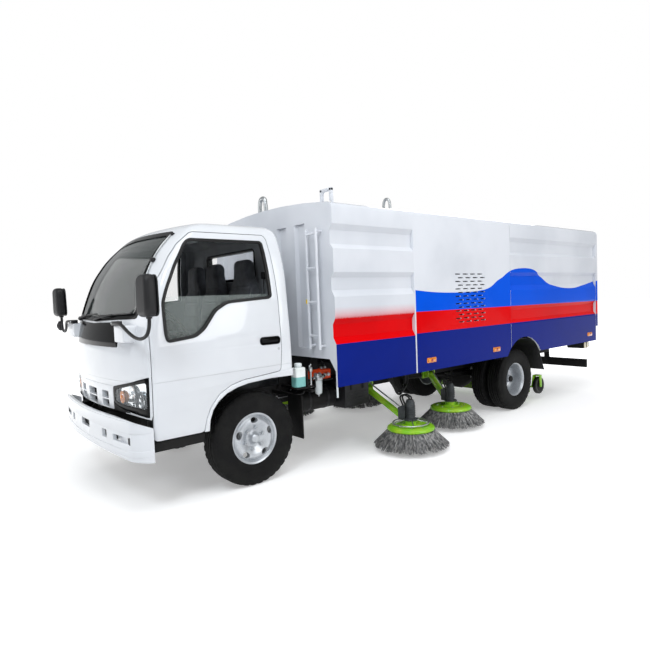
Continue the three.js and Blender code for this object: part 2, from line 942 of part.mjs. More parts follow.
const grilleZone = [
  [-434, 735],
  [434, 735],
  [434, 916],
  [-434, 916],
];
{
  const doorCut = across(inset(doorOutline, -clear), 500, 1000)
    .subtract(cabSkin(cabWall + clear));
  // The floor's edge stays clear of the door's front corner as it swings.
  const swingRoom = block(836, 905, -862, -780, cabFloor - 5, insideFloor + 5);
  const cuts = [
    bothSides(doorCut),
    bothSides(swingRoom),
    along(windscreenOutline, -1150, -300),
    along(rearWindowOutline, cabBack - 100, cabBack + 50),
    faceCut(grilleZone, grilleDepth),
    bothSides(faceCut(lampOutline)),
  ];
  // Steps hang below the floor at each door and a hinge leg reaches each tilt pin.
  const stepWell = join(
    block(660, 812, -862, -846, 470, cabFloor + 10),
    block(660, 850, -494, -478, 470, cabFloor + 10),
    block(660, 900, -862, -478, 470, 538),
    block(660, 676, -862, -478, 470, cabFloor + 10),
  );
  const leg = cut(
    across(
      [
        [cabTiltAxis.y - 26, cabTiltAxis.z - 26],
        [cabTiltAxis.y + 26, cabTiltAxis.z - 26],
        [-856, 684],
        [-850, cabFloor + 12],
        [-908, cabFloor + 12],
        [-914, 704],
        [cabTiltAxis.y - 26, cabTiltAxis.z + 8],
      ],
      tiltLugX - 34,
      tiltLugX - 4,
    ),
    bore([tiltLugX - 44, cabTiltAxis.y, cabTiltAxis.z],
      [tiltLugX + 6, cabTiltAxis.y, cabTiltAxis.z], 18),
  );
  const leaves = [1040, 1240].map((z) =>
    block(doorHinge.x - 34, doorHinge.x - 8, -874, -860.3, z, z + 60),
  );
  const shell = join(
    cut(cabShell, ...cuts),
    bothSides(stepWell),
    bothSides(leg),
    bothSides(join(...leaves)),
  );
  piece(cab, "cab_shell", shell, whitePaint);

  const windscreen = cabSkin(8).subtract(cabSkin(15));
  piece(cab, "windscreen",
    windscreen.intersect(along(inset(windscreenOutline, touch), -1150, -300)), clearGlass);
  const paneBack = block(-600, 600, cabBack - 34, cabBack - 27, 1600, 2050);
  piece(cab, "rear_window",
    paneBack.intersect(along(inset(rearWindowOutline, touch), cabBack - 60, cabBack)),
    clearGlass);

  const slots = [];
  for (const x of [-294, 0, 294])
    for (const z of [838, 776])
      slots.push(block(x - 100, x + 100, -1150, -850, z - 22, z + 22));
  piece(cab, "grille_panel",
    cut(cabShell.intersect(faceZone(grilleZone, grilleDepth)), ...slots), whitePaint);
  const lamp = cabShell.intersect(faceZone(lampOutline));
  piece(cab, "headlamp_left", lamp, lampGlass);
  piece(cab, "headlamp_right", mirrored(lamp), lampGlass);
}

// ---- doors ---------------------------------------------------------------------
for (const { side, sign } of sides) {
  const door = group(cab, doorHinge.x * sign, doorHinge.y, 0);
  door.scale.x = sign;
  const skin = cabOuter.subtract(cabSkin(cabWall));
  const panel = cut(
    skin.intersect(across(doorOutline, 700, 1000)),
    across(sideWindow, 500, 1000),
    block(700, 1000, -2000, 2000, 0, 546),
  );
  const handle = join(
    block(900, 934, 48, 62, 1168, 1202),
    block(900, 934, 194, 208, 1168, 1202),
    block(926, 942, 45, 211, 1165, 1205),
  );
  piece(door, `door_${side}`,
    shifted(panel.add(handle), -doorHinge.x, -doorHinge.y, 0), whitePaint);
  const pane = cabSkin(20).subtract(cabSkin(26));
  const opening = across(inset(sideWindow, touch), 500, 1000);
  const top = side === "left" ? 1566 : 2100;
  const glass = pane.intersect(opening).intersect(block(500, 1000, -900, 400, 1200, top));
  piece(door, `door_glass_${side}`,
    shifted(glass, -doorHinge.x, -doorHinge.y, 0), clearGlass);
}

// ---- inside the cab -------------------------------------------------------------
{
  const wheel = new THREE.TorusGeometry(205, 15, 6, 20);
  wheel.rotateX(THREE.MathUtils.degToRad(-52));
  wheel.translate(370, -470, 1335);
  const spokes = new THREE.BoxGeometry(390, 40, 14);
  spokes.rotateX(THREE.MathUtils.degToRad(-52 + 0));
  spokes.translate(370, -470, 1335);
  const console = across(
    [
      [-1060, 1000],
      [-1060, 1340],
      [-880, 1352],
      [-760, 1362],
      [-640, 1310],
      [-600, 1200],
      [-640, 1010],
    ],
    -715,
    715,
  ).intersect(cabSkin(cabWall + touch));
  const dash = join(
    console,
    bar([370, -640, 1210], [370, -470, 1335], 26, 12),
    solidOf(wheel),
    solidOf(spokes),
  );
  piece(cab, "dashboard", dash, plasticBlack);

  const platform = 930 + touch;
  const seatLine = [
    [-330, 1010],
    [-350, 1110],
    [-320, 1150],
    [120, 1120],
    [190, 1560],
    [200, 1690],
    [160, 1700],
    [175, 1900],
    [265, 1900],
    [275, 1690],
    [262, 1000],
  ];
  const bench = [
    { x: 420, half: 250 },
    { x: -330, half: 420 },
  ];
  let seats = block(-740, 660, -98, 240, platform, 1012);
  for (const { x, half } of bench) seats = seats.add(across(seatLine, x - half, x + half));
  piece(cab, "seats", seats, seatCloth);
}

// ---- mirrors ------------------------------------------------------------------
for (const { side, sign } of sides) {
  const holder = group(cab, 0, 0, 0);
  holder.scale.x = sign;
  const foot = block(560, 640, -1010, -900, 1300, 1362)
    .subtract(cabSkin(-touch));
  const arm = pipe(
    [
      [600, -990, 1330],
      [760, -985, 1322],
      [930, -965, 1300],
      [1080, -955, 1325],
      [1150, -950, 1400],
      [1165, -948, 1460],
    ],
    11,
    14,
    6,
  );
  const head = new THREE.BoxGeometry(190, 70, 275, 1, 1, 1);
  head.translate(1165, -945, 1572);
  piece(holder, `mirror_${side}`, join(foot, arm, solidOf(head)), plasticBlack);
}

// ---- steered wheels -------------------------------------------------------------
const wheelSides = 24;
// Turned pieces of a wheel have a flat at the ground and share their corners.
function wheelTurned(profile) {
  const wide = profile.map(([a, r]) => [a, r / Math.cos(Math.PI / wheelSides)]);
  const turn = new THREE.Matrix4().makeRotationX(Math.PI / wheelSides);
  return moved(turnedX(wide, wheelSides), turn);
}
const tyre = () => {
  const half = tyreWidth / 2;
  const seat = rimWidth / 2;
  const side = [
    [seat, beadRadius],
    [seat, flangeRadius + 4],
    [half, flangeRadius + 84],
    [half - 24, tyreRadius],
  ];
  const back = side.map(([a, r]) => [-a, r]).toReversed();
  return wheelTurned([...side, ...back, side[0]]);
};

// The outer line of a rim, flange to flange, centred at the given place.
function rimSeat(at) {
  const seat = rimWidth / 2 + touch;
  const well = beadRadius - touch;
  return [
    [at - seat - rimSheet, flangeRadius],
    [at - seat, flangeRadius],
    [at - seat, well],
    [at + seat, well],
    [at + seat, flangeRadius],
    [at + seat + rimSheet, flangeRadius],
  ];
}
const wellInside = beadRadius - 12;

function handHoles(from, to, radius, size, count) {
  const holes = [];
  for (let i = 0; i < count; i++) {
    const a = (i * 2 * Math.PI) / count + 0.3;
    const y = radius * Math.cos(a);
    const z = radius * Math.sin(a);
    holes.push(bar([from, y, z], [to, y, z], size, 6));
  }
  return join(...holes);
}

const rimEdge = rimWidth / 2 + touch + rimSheet;
const frontRim = [
  ...rimSeat(0),
  [rimEdge, wellInside],
  [46, wellInside],
  [72, 150],
  [46, 92],
  [46, 56],
  [66, 44],
  [66, 0],
  [28, 0],
  [28, spindleRadius + running],
  [-62, spindleRadius + running],
  [-62, 84],
  [30, 92],
  [34, wellInside],
  [-rimEdge, wellInside],
  [-rimEdge, flangeRadius],
];
for (const { side, sign } of sides) {
  const steered = group(truck, kingpinX * sign, 0, tyreRadius);
  steered.scale.x = sign;
  const yoke = axleEyeHalf + clear;
  const offset = frontTrack / 2 - kingpinX;
  const arms = [1, -1].map((up) =>
    cut(
      join(
        bar([0, 0, up * yoke], [0, 0, up * (yoke + 26)], 32, 12),
        block(0, 62, -26, 26, Math.min(up * yoke, up * (yoke + 26)),
          Math.max(up * yoke, up * (yoke + 26))),
      ),
      bore([0, 0, up * (yoke - 4)], [0, 0, up * (yoke + 40)], kingpinRadius),
    ),
  );
  const knuckle = join(
    ...arms,
    block(44, 62, -30, 30, -yoke - 26, yoke + 26),
    pin([60, 0, 0], [offset + 22, 0, 0], spindleRadius, 16),
  );
  piece(steered, `knuckle_${side}`, knuckle, castIron);
  const wheel = group(steered, offset, 0, 0);
  const rim = cut(wheelTurned(frontRim), handHoles(20, 90, 138, 24, 6));
  piece(wheel, `front_rim_${side}`, rim, wheelSilver);
  piece(wheel, `front_tyre_${side}`, tyre(), rubber);
}

// ---- driven twin wheels --------------------------------------------------------
const twinHalf = twinSpacing / 2;
const rearRims = [
  ...rimSeat(twinHalf),
  [twinHalf + rimEdge, wellInside],
  [58, wellInside],
  [8, 150],
  [8, 96],
  [48, 74],
  [48, spindleRadius + running],
  [-140, spindleRadius + running],
  [-140, 96],
  [-8, 96],
  [-8, 150],
  [-58, wellInside],
  [-twinHalf - rimEdge, wellInside],
  ...rimSeat(-twinHalf),
  [-twinHalf + rimEdge, wellInside + 2],
  [twinHalf - rimEdge, wellInside + 2],
  [twinHalf - rimEdge, flangeRadius],
];
for (const { side, sign } of sides) {
  const wheel = group(truck, (rearTrack / 2) * sign, wheelbase, tyreRadius);
  wheel.scale.x = sign;
  const rims = cut(wheelTurned(rearRims), handHoles(-40, 40, 128, 20, 6));
  piece(wheel, `rear_rims_${side}`, rims, wheelSilver);
  piece(wheel, `rear_tyre_outer_${side}`, shifted(tyre(), twinHalf, 0, 0), rubber);
  piece(wheel, `rear_tyre_inner_${side}`, shifted(tyre(), -twinHalf, 0, 0), rubber);
}

// ---- rear mudguards ---------------------------------------------------------------
{
  const outer = [
    [3362, 690],
    [3400, 790],
    [3480, 862],
    [3600, 905],
    [3815, 915],
    [4040, 905],
    [4150, 868],
    [4225, 780],
    [4370, 457],
  ];
  const sheet = 8;
  const inner = outer.map(([y, z], i) => {
    const towards = i < 4 ? sheet : i > 5 ? -sheet : 0;
    return [y + towards, z - (i === 0 || i === 8 ? 0 : sheet)];
  });
  const shape = [...outer, ...inner.toReversed()].map(([y, z]) => [
    y + longer,
    z,
  ]);
  const guard = join(
    across(shape, 480, 1000),
    block(beamOuter + touch, 500, wheelbase - 25, wheelbase + 25, 820, 912),
  );
  piece(chassis, "mudguard_left", guard, plasticBlack);
  piece(chassis, "mudguard_right", mirrored(guard), plasticBlack);
}

// ---- body sides: outline of the wall sheet, from the skirt to the eave ---------------
const grooves = [
  { low: 1108, lowIn: 1166, highIn: 1279, high: 1338 },
  { low: 1519, lowIn: 1579, highIn: 1690, high: 1733 },
  { low: 1938, lowIn: 1980, highIn: 2100, high: 2151 },
];

// The outer line of one side as [depth inwards, height].
function sideLine(grooved, from) {
  const line = [[0, from]];
  if (grooved)
    for (const { low, lowIn, highIn, high } of grooves)
      line.push([0, low], [grooveDepth, lowIn], [grooveDepth, highIn], [0, high]);
  return line;
}

// Half of the section from the given height to the crown, at a sheet offset.
function halfSection(grooved, from, margin) {
  const w = bodyHalf - margin;
  const line = sideLine(grooved, from).map(([depth, z]) => [w - depth, z]);
  const top = eaveHeight - margin;
  const r = Math.max(eaveRadius - margin, 12);
  line.push([w, top - r], [w - r * 0.3, top - r * 0.3], [w - r, top]);
  for (const share of [0.66, 0.33])
    line.push([(w - r) * share, top + roofCamber * (1 - share ** 2)]);
  line.push([0, top + roofCamber]);
  return line;
}

function fullSection(grooved, from, margin) {
  const half = halfSection(grooved, from, margin);
  const other = half.slice(0, -1).map(([x, z]) => [-x, z]).toReversed();
  return [...half, ...other];
}

// A body bay: walls and roof with skirts below the floor.
function bodyBox(grooved, y0, y1) {
  const low = bodyHalf - bodySheet;
  return cut(
    along(fullSection(grooved, skirtHeight, 0), y0, y1),
    block(-low, low, y0 - 10, y1 + 10, skirtHeight - 10, floorHeight),
  );
}
const bodyRoom = (grooved, y0, y1) =>
  along(fullSection(grooved, floorHeight + floorSheet, bodySheet), y0, y1);
const arches = across(
  Array.from({ length: 32 }, (_, i) => {
    const a = (i * Math.PI) / 16;
    const y = wheelbase - 25 + archRadius * Math.cos(a);
    return [y, 478 + archRadius * Math.sin(a)];
  }),
  -bodyHalf - 50,
  bodyHalf + 50,
);

// ---- water tank with ladder, grab rail and filler vents ------------------------------
{
  const box = bodyBox(true, bodyFront, tankBack - touch);
  const room = bodyRoom(true, bodyFront + bodySheet + 30, tankBack - bodySheet);
  const manhole = bar([0, tankBack - 60, 1650], [0, tankBack + 20, 1650], 220, 12);
  const gusset = along(
    [
      [bodyHalf - bodySheet - 85, floorHeight + 10],
      [bodyHalf - 5, floorHeight + 10],
      [bodyHalf - 5, 869],
      [bodyHalf - bodySheet, 869],
    ],
    bodyFront,
    bodyFront + 20,
  );
  const ribs = [];
  for (const x of [-790, -300, 300, 590])
    ribs.push(
      upward(
        [
          [x - 85, bodyFront - 5],
          [x + 85, bodyFront - 5],
          [x + 50, bodyFront + 28],
          [x - 50, bodyFront + 28],
        ],
        1060,
        2200,
      ),
    );
  const railX = [768, 907];
  const rungs = [1180, 1480, 1780, 2080];
  const standOff = 60;
  const ladder = [];
  for (const x of railX) {
    ladder.push(bar([x, bodyFront - standOff, 1060], [x, bodyFront - standOff, 2128], 13, 8));
    for (const z of [1090, 2100])
      ladder.push(bar([x, bodyFront - standOff, z], [x, bodyFront + 5, z], 11, 6));
  }
  for (const z of rungs)
    ladder.push(
      bar([railX[0], bodyFront - standOff, z], [railX[1], bodyFront - standOff, z], 11, 6),
    );
  const roofZ = (x) => eaveHeight + roofCamber * (1 - (x / (bodyHalf - eaveRadius)) ** 2);
  const grab = pipe(
    [
      [891, bodyFront + 40, roofZ(891) - 12],
      [893, bodyFront + 40, 2405],
      [920, bodyFront + 40, 2446],
      [975, bodyFront + 40, 2452],
      [1015, bodyFront + 40, 2440],
      [1030, bodyFront + 40, 2390],
      [1030, bodyFront + 40, eaveHeight - 40],
    ],
    12,
    12,
    6,
  );
  const vent = (x, y) =>
    pipe(
      [
        [x, y, roofZ(x) - 15],
        [x, y, 2500],
        [x + 16, y, 2560],
        [x + 58, y, 2578],
        [x + 98, y, 2556],
        [x + 110, y, 2505],
      ],
      19,
      12,
      6,
    );
  const tank = join(
    cut(box, room, manhole, ...ribs),
    bothSides(gusset),
    ...ladder,
    grab,
    vent(-240, bodyFront + 120),
  );
  piece(chassis, "water_tank", tank, whitePaint);
}

// ---- engine bay with louvred sides --------------------------------------------------
{
  const y0 = tankBack;
  const y1 = bayBack - clear;
  const box = bodyBox(false, y0, y1);
  const room = bodyRoom(false, y0 + bodySheet, y1 - bodySheet);
  const floorHole = block(-560, 560, y0 + 180, y1 - 120, floorHeight - 10, floorHeight + 60);
  const slots = [];
  const firstY = 2418;
  const firstZ = 1714;
  for (let row = 0; row < louvreRows; row++)
    for (let column = 0; column < louvreColumns; column++) {
      const y = firstY + column * (louvreLength + louvreGap) + (row % 2) * 48;
      const z = firstZ - row * louvrePitch;
      slots.push(
        block(bodyHalf - bodySheet - 5, bodyHalf + 5, y, y + louvreLength,
          z - louvreSlot / 2, z + louvreSlot / 2),
      );
    }
  const louvres = join(...slots);
  const bay = cut(box, room, floorHole, bothSides(louvres), arches);
  piece(chassis, "engine_bay", bay, whitePaint);
  const auxiliary = join(
    block(-300, 300, y0 + 500, y0 + 1250, floorHeight + touch, 1560),
    block(-240, 240, y0 + 560, y0 + 1180, 1540, 1720),
    bar([0, y0 + 1240, 1350], [0, y0 + 1420, 1350], 300, 24),
  );
  piece(chassis, "auxiliary_engine", auxiliary, castIron);
}

// ---- tipping hopper ------------------------------------------------------------
const doorFront = bodyBack - doorThickness;
const doorHingeTop = { y: doorFront - 45, z: eaveHeight + roofCamber + 24 };
{
  const y1 = doorFront - clear;
  const box = bodyBox(true, bayBack, y1);
  const room = bodyRoom(true, bayBack + bodySheet, y1 + 20);
  const ear = cut(
    across(
      [
        [hopperHinge.y - 50, floorHeight + 5],
        [hopperHinge.y - 34, hopperHinge.z - 34],
        [hopperHinge.y + 20, hopperHinge.z - 34],
        [hopperHinge.y + 25, floorHeight + 5],
      ],
      beamOuter + clear,
      beamOuter + clear + 30,
    ),
    bore([beamOuter, hopperHinge.y, hopperHinge.z], [beamOuter + 60, hopperHinge.y,
      hopperHinge.z], 25),
  );
  const lugs = [-520, 480].map((x) =>
    join(
      block(x, x + 20, doorHingeTop.y - 30, doorHingeTop.y + 20, 2280, doorHingeTop.z + 20),
      pin([x + 10, doorHingeTop.y, doorHingeTop.z], [x + 60, doorHingeTop.y, doorHingeTop.z],
        12),
    ),
  );
  const roofTrim = along(fullSection(true, floorHeight + 40, bodySheet), bayBack + 30, y1 + 20);
  const shell = join(
    cut(box, room, arches),
    bothSides(ear),
    ...lugs.map((lug) => cut(lug, roofTrim)),
  );
  piece(hopper, "hopper", shell, whitePaint);
}

// ---- rear door --------------------------------------------------------------------
{
  const slab = cut(
    along(fullSection(false, floorHeight - 30, 0), doorFront, bodyBack),
    along(fullSection(false, floorHeight + 60, 70), doorFront + 30, bodyBack + 10),
  );
  const ears = [-495, 505].map((x) =>
    cut(
      across(
        [
          [doorHingeTop.y - 22, doorHingeTop.z - 14],
          [doorHingeTop.y - 22, doorHingeTop.z + 22],
          [doorHingeTop.y + 26, doorHingeTop.z + 22],
          [bodyBack - 8, 2400],
          [bodyBack - 8, 2330],
          [doorFront + 2, 2330],
          [doorFront + 2, 2404],
          [doorHingeTop.y + 14, doorHingeTop.z - 14],
        ],
        x,
        x + 28,
      ),
      bore([x - 5, doorHingeTop.y, doorHingeTop.z], [x + 40, doorHingeTop.y, doorHingeTop.z],
        12),
    ),
  );
  piece(hopper, "rear_door", join(slab, ...ears), whitePaint);
}

// ---- brushes: lower arm, upper link, levelled head and spinning brush -----------------
for (const set of brushSets)
  for (const { side, sign } of sides) {
    const [px, py, angle] = armPivot(set);
    const name = (piece) => `brush_${piece}_${set.place}_${side}`;
    const flank = group(truck, 0, 0, 0);
    flank.scale.x = sign;
    const base = group(flank, px, py, armPivotHeight);
    base.rotation.z = angle;
    const span = set.reach - headOffset;
    const slope = Math.atan2(-armDrop, span);
    const length = Math.hypot(span, armDrop);
    const tilt = (solid) => moved(solid, new THREE.Matrix4().makeRotationY(-slope));
    const armHalf = forkGap / 2 - clear;
    const armBar = tilt(
      join(
        block(0, length, -armHalf, armHalf, -20, 20),
        bar([0, -armHalf, 0], [0, armHalf, 0], 24, 10),
        bar([length, -armHalf, 0], [length, armHalf, 0], 24, 10),
      ),
    );
    const eye = (x, z, radius) => bore([x, -60, z], [x, 60, z], radius);
    piece(base, name("arm"),
      cut(armBar, eye(0, 0, pinRadius), eye(span, -armDrop, pinRadius)), greenPaint);

    const linkHalf = 12;
    const linkBar = tilt(
      join(
        bar([14, 0, 0], [length - 14, 0, 0], 9, 6),
        bar([0, -linkHalf, 0], [0, linkHalf, 0], 19, 8),
        bar([length, -linkHalf, 0], [length, linkHalf, 0], 19, 8),
      ),
    );
    const link = group(base, 0, 0, linkRise);
    piece(link, name("link"),
      cut(linkBar, eye(0, 0, linkPinRadius), eye(span, -armDrop, linkPinRadius)),
      palePaint);

    const head = group(base, span, 0, -armDrop);
    const half = forkGap / 2;
    const cheekPlate = along(
      [
        [-18, -26],
        [40, -26],
        [62, -20],
        [62, linkRise + 40],
        [30, linkRise + 40],
        [-18, linkRise + 16],
      ],
      half,
      half + cheek,
    );
    const drop = armPivotHeight - armDrop;
    const motorLow = brushPlateHeight + 28 - drop;
    const motorTop = 487 - drop;
    const headSolid = join(
      bothCheeks(cheekPlate, half, cheek),
      block(50, 62, -half - cheek, half + cheek, -26, linkRise + 40),
      pin([0, -half - cheek / 2, 0], [0, half + cheek / 2, 0], pinRadius),
      pin([0, -half - cheek / 2, linkRise], [0, half + cheek / 2, linkRise],
        linkPinRadius),
      block(50, headOffset + 60, -half - cheek, half + cheek, -26, -8),
      shifted(turnedZ(
        [
          [motorLow, 0],
          [motorLow, 58],
          [motorLow + 40, 58],
          [motorLow + 46, 46],
          [motorTop - 30, 46],
          [motorTop, 34],
          [motorTop, 0],
        ],
        12,
      ), headOffset, 0, 0),
    );
    piece(head, name("head"), headSolid, greenPaint);

    const brush = group(head, headOffset, 0, -drop);
    const tips = brushTipHeight;
    const plateZ = brushPlateHeight;
    const brushSolid = turnedZ(
      [
        [plateZ + 28 - touch, 0],
        [plateZ + 28 - touch, 34],
        [plateZ + 12, 40],
        [plateZ + 12, brushPlateRadius],
        [plateZ - 14, brushPlateRadius],
        [tips, brushRadius],
        [tips, brushRadius - 90],
        [plateZ - 14, brushPlateRadius - 70],
        [plateZ - 14, 0],
      ],
      16,
    );
    piece(brush, name("disc"), brushSolid, bristle);
  }

function bothCheeks(plate, half, thickness) {
  return plate.add(
    moved(plate, new THREE.Matrix4().makeTranslation(0, -2 * half - thickness, 0)),
  );
}

// ---- suction nozzle and its casters ----------------------------------------------------
{
  const carrier = group(truck, 0, nozzleAxis.y, nozzleAxis.z);
  const y = (value) => value - nozzleAxis.y;
  const z = (value) => value - nozzleAxis.z;
  const hood = across(
    [
      [y(4290), z(95)],
      [y(4290), z(200)],
      [y(4350), z(270)],
      [y(4450), z(270)],
      [y(4530), z(200)],
      [y(4530), z(95)],
    ],
    -nozzleHalf,
    nozzleHalf,
  );
  const room = across(
    [
      [y(4302), z(80)],
      [y(4302), z(196)],
      [y(4355), z(258)],
      [y(4445), z(258)],
      [y(4518), z(196)],
      [y(4518), z(80)],
    ],
    -nozzleHalf + 12,
    nozzleHalf - 12,
  );
  const neck = bar([0, y(ductY), z(262)], [0, y(ductY), z(440)], neckRadius, 12);
  const arm = cut(
    across(
      [
        [-28, -24],
        [-28, 26],
        [24, 26],
        [y(4400), z(278)],
        [y(4400), z(262)],
        [y(4340), z(250)],
        [20, -24],
      ],
      180,
      210,
    ),
    bore([170, 0, 0], [220, 0, 0], 16),
  );
  const inner = casterX - 40;
  const outer = casterX + 34;
  const crown = casterZ + casterRadius + 16;
  const fork = join(
    block(nozzleHalf - 6, inner + 12, y(4460), y(4500), z(176), z(196)),
    across(
      [
        [y(4460), z(176)],
        [y(4585), z(182)],
        [y(4592), z(215)],
        [y(4570), z(crown + 12)],
        [y(4500), z(crown + 12)],
        [y(4460), z(196)],
      ],
      inner,
      inner + 12,
    ),
    across(
      [
        [y(4552), z(180)],
        [y(4588), z(180)],
        [y(4588), z(crown + 12)],
        [y(4530), z(crown + 12)],
      ],
      outer,
      outer + 12,
    ),
    block(inner, outer + 12, y(4510), y(4588), z(crown), z(crown + 12)),
    pin([inner + 2, y(casterY), z(casterZ)], [outer + 12, y(casterY), z(casterZ)], 14),
  );
  const nozzle = join(cut(hood, room), neck, bothSides(arm), bothSides(fork));
  piece(carrier, "suction_nozzle", nozzle, plasticBlack);
  for (const { side, sign } of sides) {
    const caster = group(carrier, casterX * sign, y(casterY), z(casterZ));
    caster.scale.x = sign;
    const wheel = turnedX(
      [
        [-22, 14 + running],
        [-22, casterRadius - 8],
        [-14, casterRadius],
        [20, casterRadius],
        [28, casterRadius - 8],
        [28, 14 + running],
        [-22, 14 + running],
      ],
      16,
    );
    piece(caster, `nozzle_wheel_${side}`, wheel, rubber);
  }
}

truck.position.y = -originY;

export default new THREE.Group().add(truck);
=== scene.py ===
"""A street cleaning truck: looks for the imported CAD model. Metres in Blender, with sizes
written in millimetres. Stations along Y are counted from the front axle, X runs to the
vehicle's left and Z up, and `place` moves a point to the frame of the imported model."""

import json
import math
import random

import bmesh
import bpy
from mathutils import Matrix, Vector

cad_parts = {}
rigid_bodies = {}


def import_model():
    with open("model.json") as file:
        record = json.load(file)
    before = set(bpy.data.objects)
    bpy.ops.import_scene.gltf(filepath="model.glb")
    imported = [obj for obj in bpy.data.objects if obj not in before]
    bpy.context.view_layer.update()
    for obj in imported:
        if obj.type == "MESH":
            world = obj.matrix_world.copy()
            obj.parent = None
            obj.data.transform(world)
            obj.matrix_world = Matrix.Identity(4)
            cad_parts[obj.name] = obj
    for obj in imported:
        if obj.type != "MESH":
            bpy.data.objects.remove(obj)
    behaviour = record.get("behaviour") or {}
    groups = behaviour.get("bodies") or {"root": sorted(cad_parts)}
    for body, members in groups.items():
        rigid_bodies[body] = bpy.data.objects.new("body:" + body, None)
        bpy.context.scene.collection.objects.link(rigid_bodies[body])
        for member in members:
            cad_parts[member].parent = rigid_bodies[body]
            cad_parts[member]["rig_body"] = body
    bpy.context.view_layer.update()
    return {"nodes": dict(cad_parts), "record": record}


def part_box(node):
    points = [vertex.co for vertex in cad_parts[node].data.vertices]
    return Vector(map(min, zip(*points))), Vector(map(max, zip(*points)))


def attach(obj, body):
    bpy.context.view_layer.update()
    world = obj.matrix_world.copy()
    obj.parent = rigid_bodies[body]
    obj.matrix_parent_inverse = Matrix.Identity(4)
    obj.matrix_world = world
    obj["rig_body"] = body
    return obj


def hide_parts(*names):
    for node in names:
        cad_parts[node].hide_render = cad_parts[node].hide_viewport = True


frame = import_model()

nodes = frame["nodes"]
slot_of = {row["node"]: row["material_slot"] for row in frame["record"]["subparts"]}
scene = bpy.context.scene
SIDES = (("left", 1), ("right", -1))
wheel_low, wheel_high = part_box("front_tyre_left")
AXLE_Y = (wheel_low.y + wheel_high.y) / 2
rear_low, rear_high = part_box("rear_tyre_outer_left")
WHEELBASE = ((rear_low.y + rear_high.y) / 2 - AXLE_Y) * 1000
HUB_Z = wheel_high.z * 1000 / 2
TURN = 2 * math.pi


def place(x, y, z):
    """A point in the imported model's frame, from millimetres and the front axle."""
    return Vector((x / 1000, y / 1000 + AXLE_Y, z / 1000))


def from_axle(point):
    """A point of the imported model's frame in millimetres, from the front axle."""
    return Vector((point.x, point.y - AXLE_Y, point.z)) * 1000


# ---- colours and finishes ------------------------------------------------------------
def linear(code):
    """An sRGB hex colour as linear numbers with an alpha of 1."""
    shares = [int(code[i : i + 2], 16) / 255 for i in (1, 3, 5)]
    return tuple(c / 12.92 if c <= 0.04045 else ((c + 0.055) / 1.055) ** 2.4 for c in shares) + (1.0,)


def add(tree, kind, settings=None, links=None):
    """A node with its settings and links. A whole number or an input's name sets that
    input, and any other name sets a property of the node."""
    made = tree.nodes.new(kind)
    late = {}
    for key, value in (settings or {}).items():
        if not isinstance(key, int) and hasattr(made, key):
            setattr(made, key, value)
        else:
            late[key] = value
    for key, value in late.items():
        made.inputs[key].default_value = value
    for key, source in (links or {}).items():
        tree.links.new(source, made.inputs[key])
    return made


def mixed(tree, share, low, high):
    """Colour `low` where share is 0 and `high` where it is 1. Each is a socket or a hex."""
    settings, links = {"data_type": "RGBA", "clamp_factor": True}, {0: share}
    for key, value in ((6, low), (7, high)):
        if isinstance(value, str):
            settings[key] = linear(value)
        else:
            links[key] = value
    return add(tree, "ShaderNodeMix", settings, links).outputs[2]


def ramp(tree, value, low, high):
    """0 where value is under low, 1 where it is over high, smooth between."""
    return add(
        tree,
        "ShaderNodeMapRange",
        {"interpolation_type": "SMOOTHSTEP", 1: low, 2: high},
        {0: value},
    ).outputs[0]


def maths(tree, operation, first, second=0.0):
    """A sum on two values, each a socket or a number."""
    settings, links = {"operation": operation}, {}
    for key, value in ((0, first), (1, second)):
        if isinstance(value, (int, float)):
            settings[key] = float(value)
        else:
            links[key] = value
    return add(tree, "ShaderNodeMath", settings, links).outputs[0]


def finish(name, base, shade, grain, patch, rough, metallic=0.0, lift=0.0, coat=0.0,
           colour=None, height=None, alpha=1.0, ior=None, sheen=0.0, stretch=(1, 1, 1), gloss=0.3):
    """A finish that wanders from base to shade over `patch` mm, with a grain of `grain`
    mm that lifts the surface by `lift` mm. rough is the least and the most roughness, and
    gloss is the strength of the plain reflection. colour and height are functions of the
    tree and the place that draw on top."""
    made = bpy.data.materials.new(name)
    made.use_nodes = True
    tree = made.node_tree
    tree.nodes.clear()
    spot = add(tree, "ShaderNodeTexCoord")
    at = add(tree, "ShaderNodeMapping", {3: stretch}, {0: spot.outputs["Object"]}).outputs[0]
    patches = add(tree, "ShaderNodeTexNoise", {"Scale": 1000 / patch, "Detail": 3.0}, {0: at})
    fine = add(tree, "ShaderNodeTexNoise", {"Scale": 1000 / grain, "Detail": 2.0}, {0: at})
    share = ramp(tree, patches.outputs[0], 0.35, 0.7)
    if colour:
        tint = mixed(tree, share, "#ffffff", shade)
        drawn = add(tree, "ShaderNodeMix", {"data_type": "RGBA", "blend_type": "MULTIPLY", 0: 1.0},
                    {6: colour(tree, spot), 7: tint}).outputs[2]
    else:
        drawn = mixed(tree, share, base, shade)
    roughness = add(tree, "ShaderNodeMapRange", {1: 0.3, 2: 0.75, 3: rough[0], 4: rough[1]},
                    {0: fine.outputs[0]}).outputs[0]
    settings = {
        "Metallic": metallic,
        "Coat Weight": coat,
        "Coat Roughness": 0.04,
        "Sheen Weight": sheen,
        "Alpha": alpha,
        "Specular IOR Level": gloss,
    }
    if ior:
        settings["IOR"] = ior
    shader = add(tree, "ShaderNodeBsdfPrincipled", settings,
                 {"Base Color": drawn, "Roughness": roughness})
    if lift or height:
        raised = maths(tree, "MULTIPLY", fine.outputs[0], lift / 1000)
        if height:
            raised = maths(tree, "ADD", raised, height(tree, spot))
        bump = add(tree, "ShaderNodeBump", {"Strength": 1.0, "Distance": 1.0}, {"Height": raised})
        tree.links.new(bump.outputs[0], shader.inputs["Normal"])
    add(tree, "ShaderNodeOutputMaterial", links={0: shader.outputs[0]})
    return made


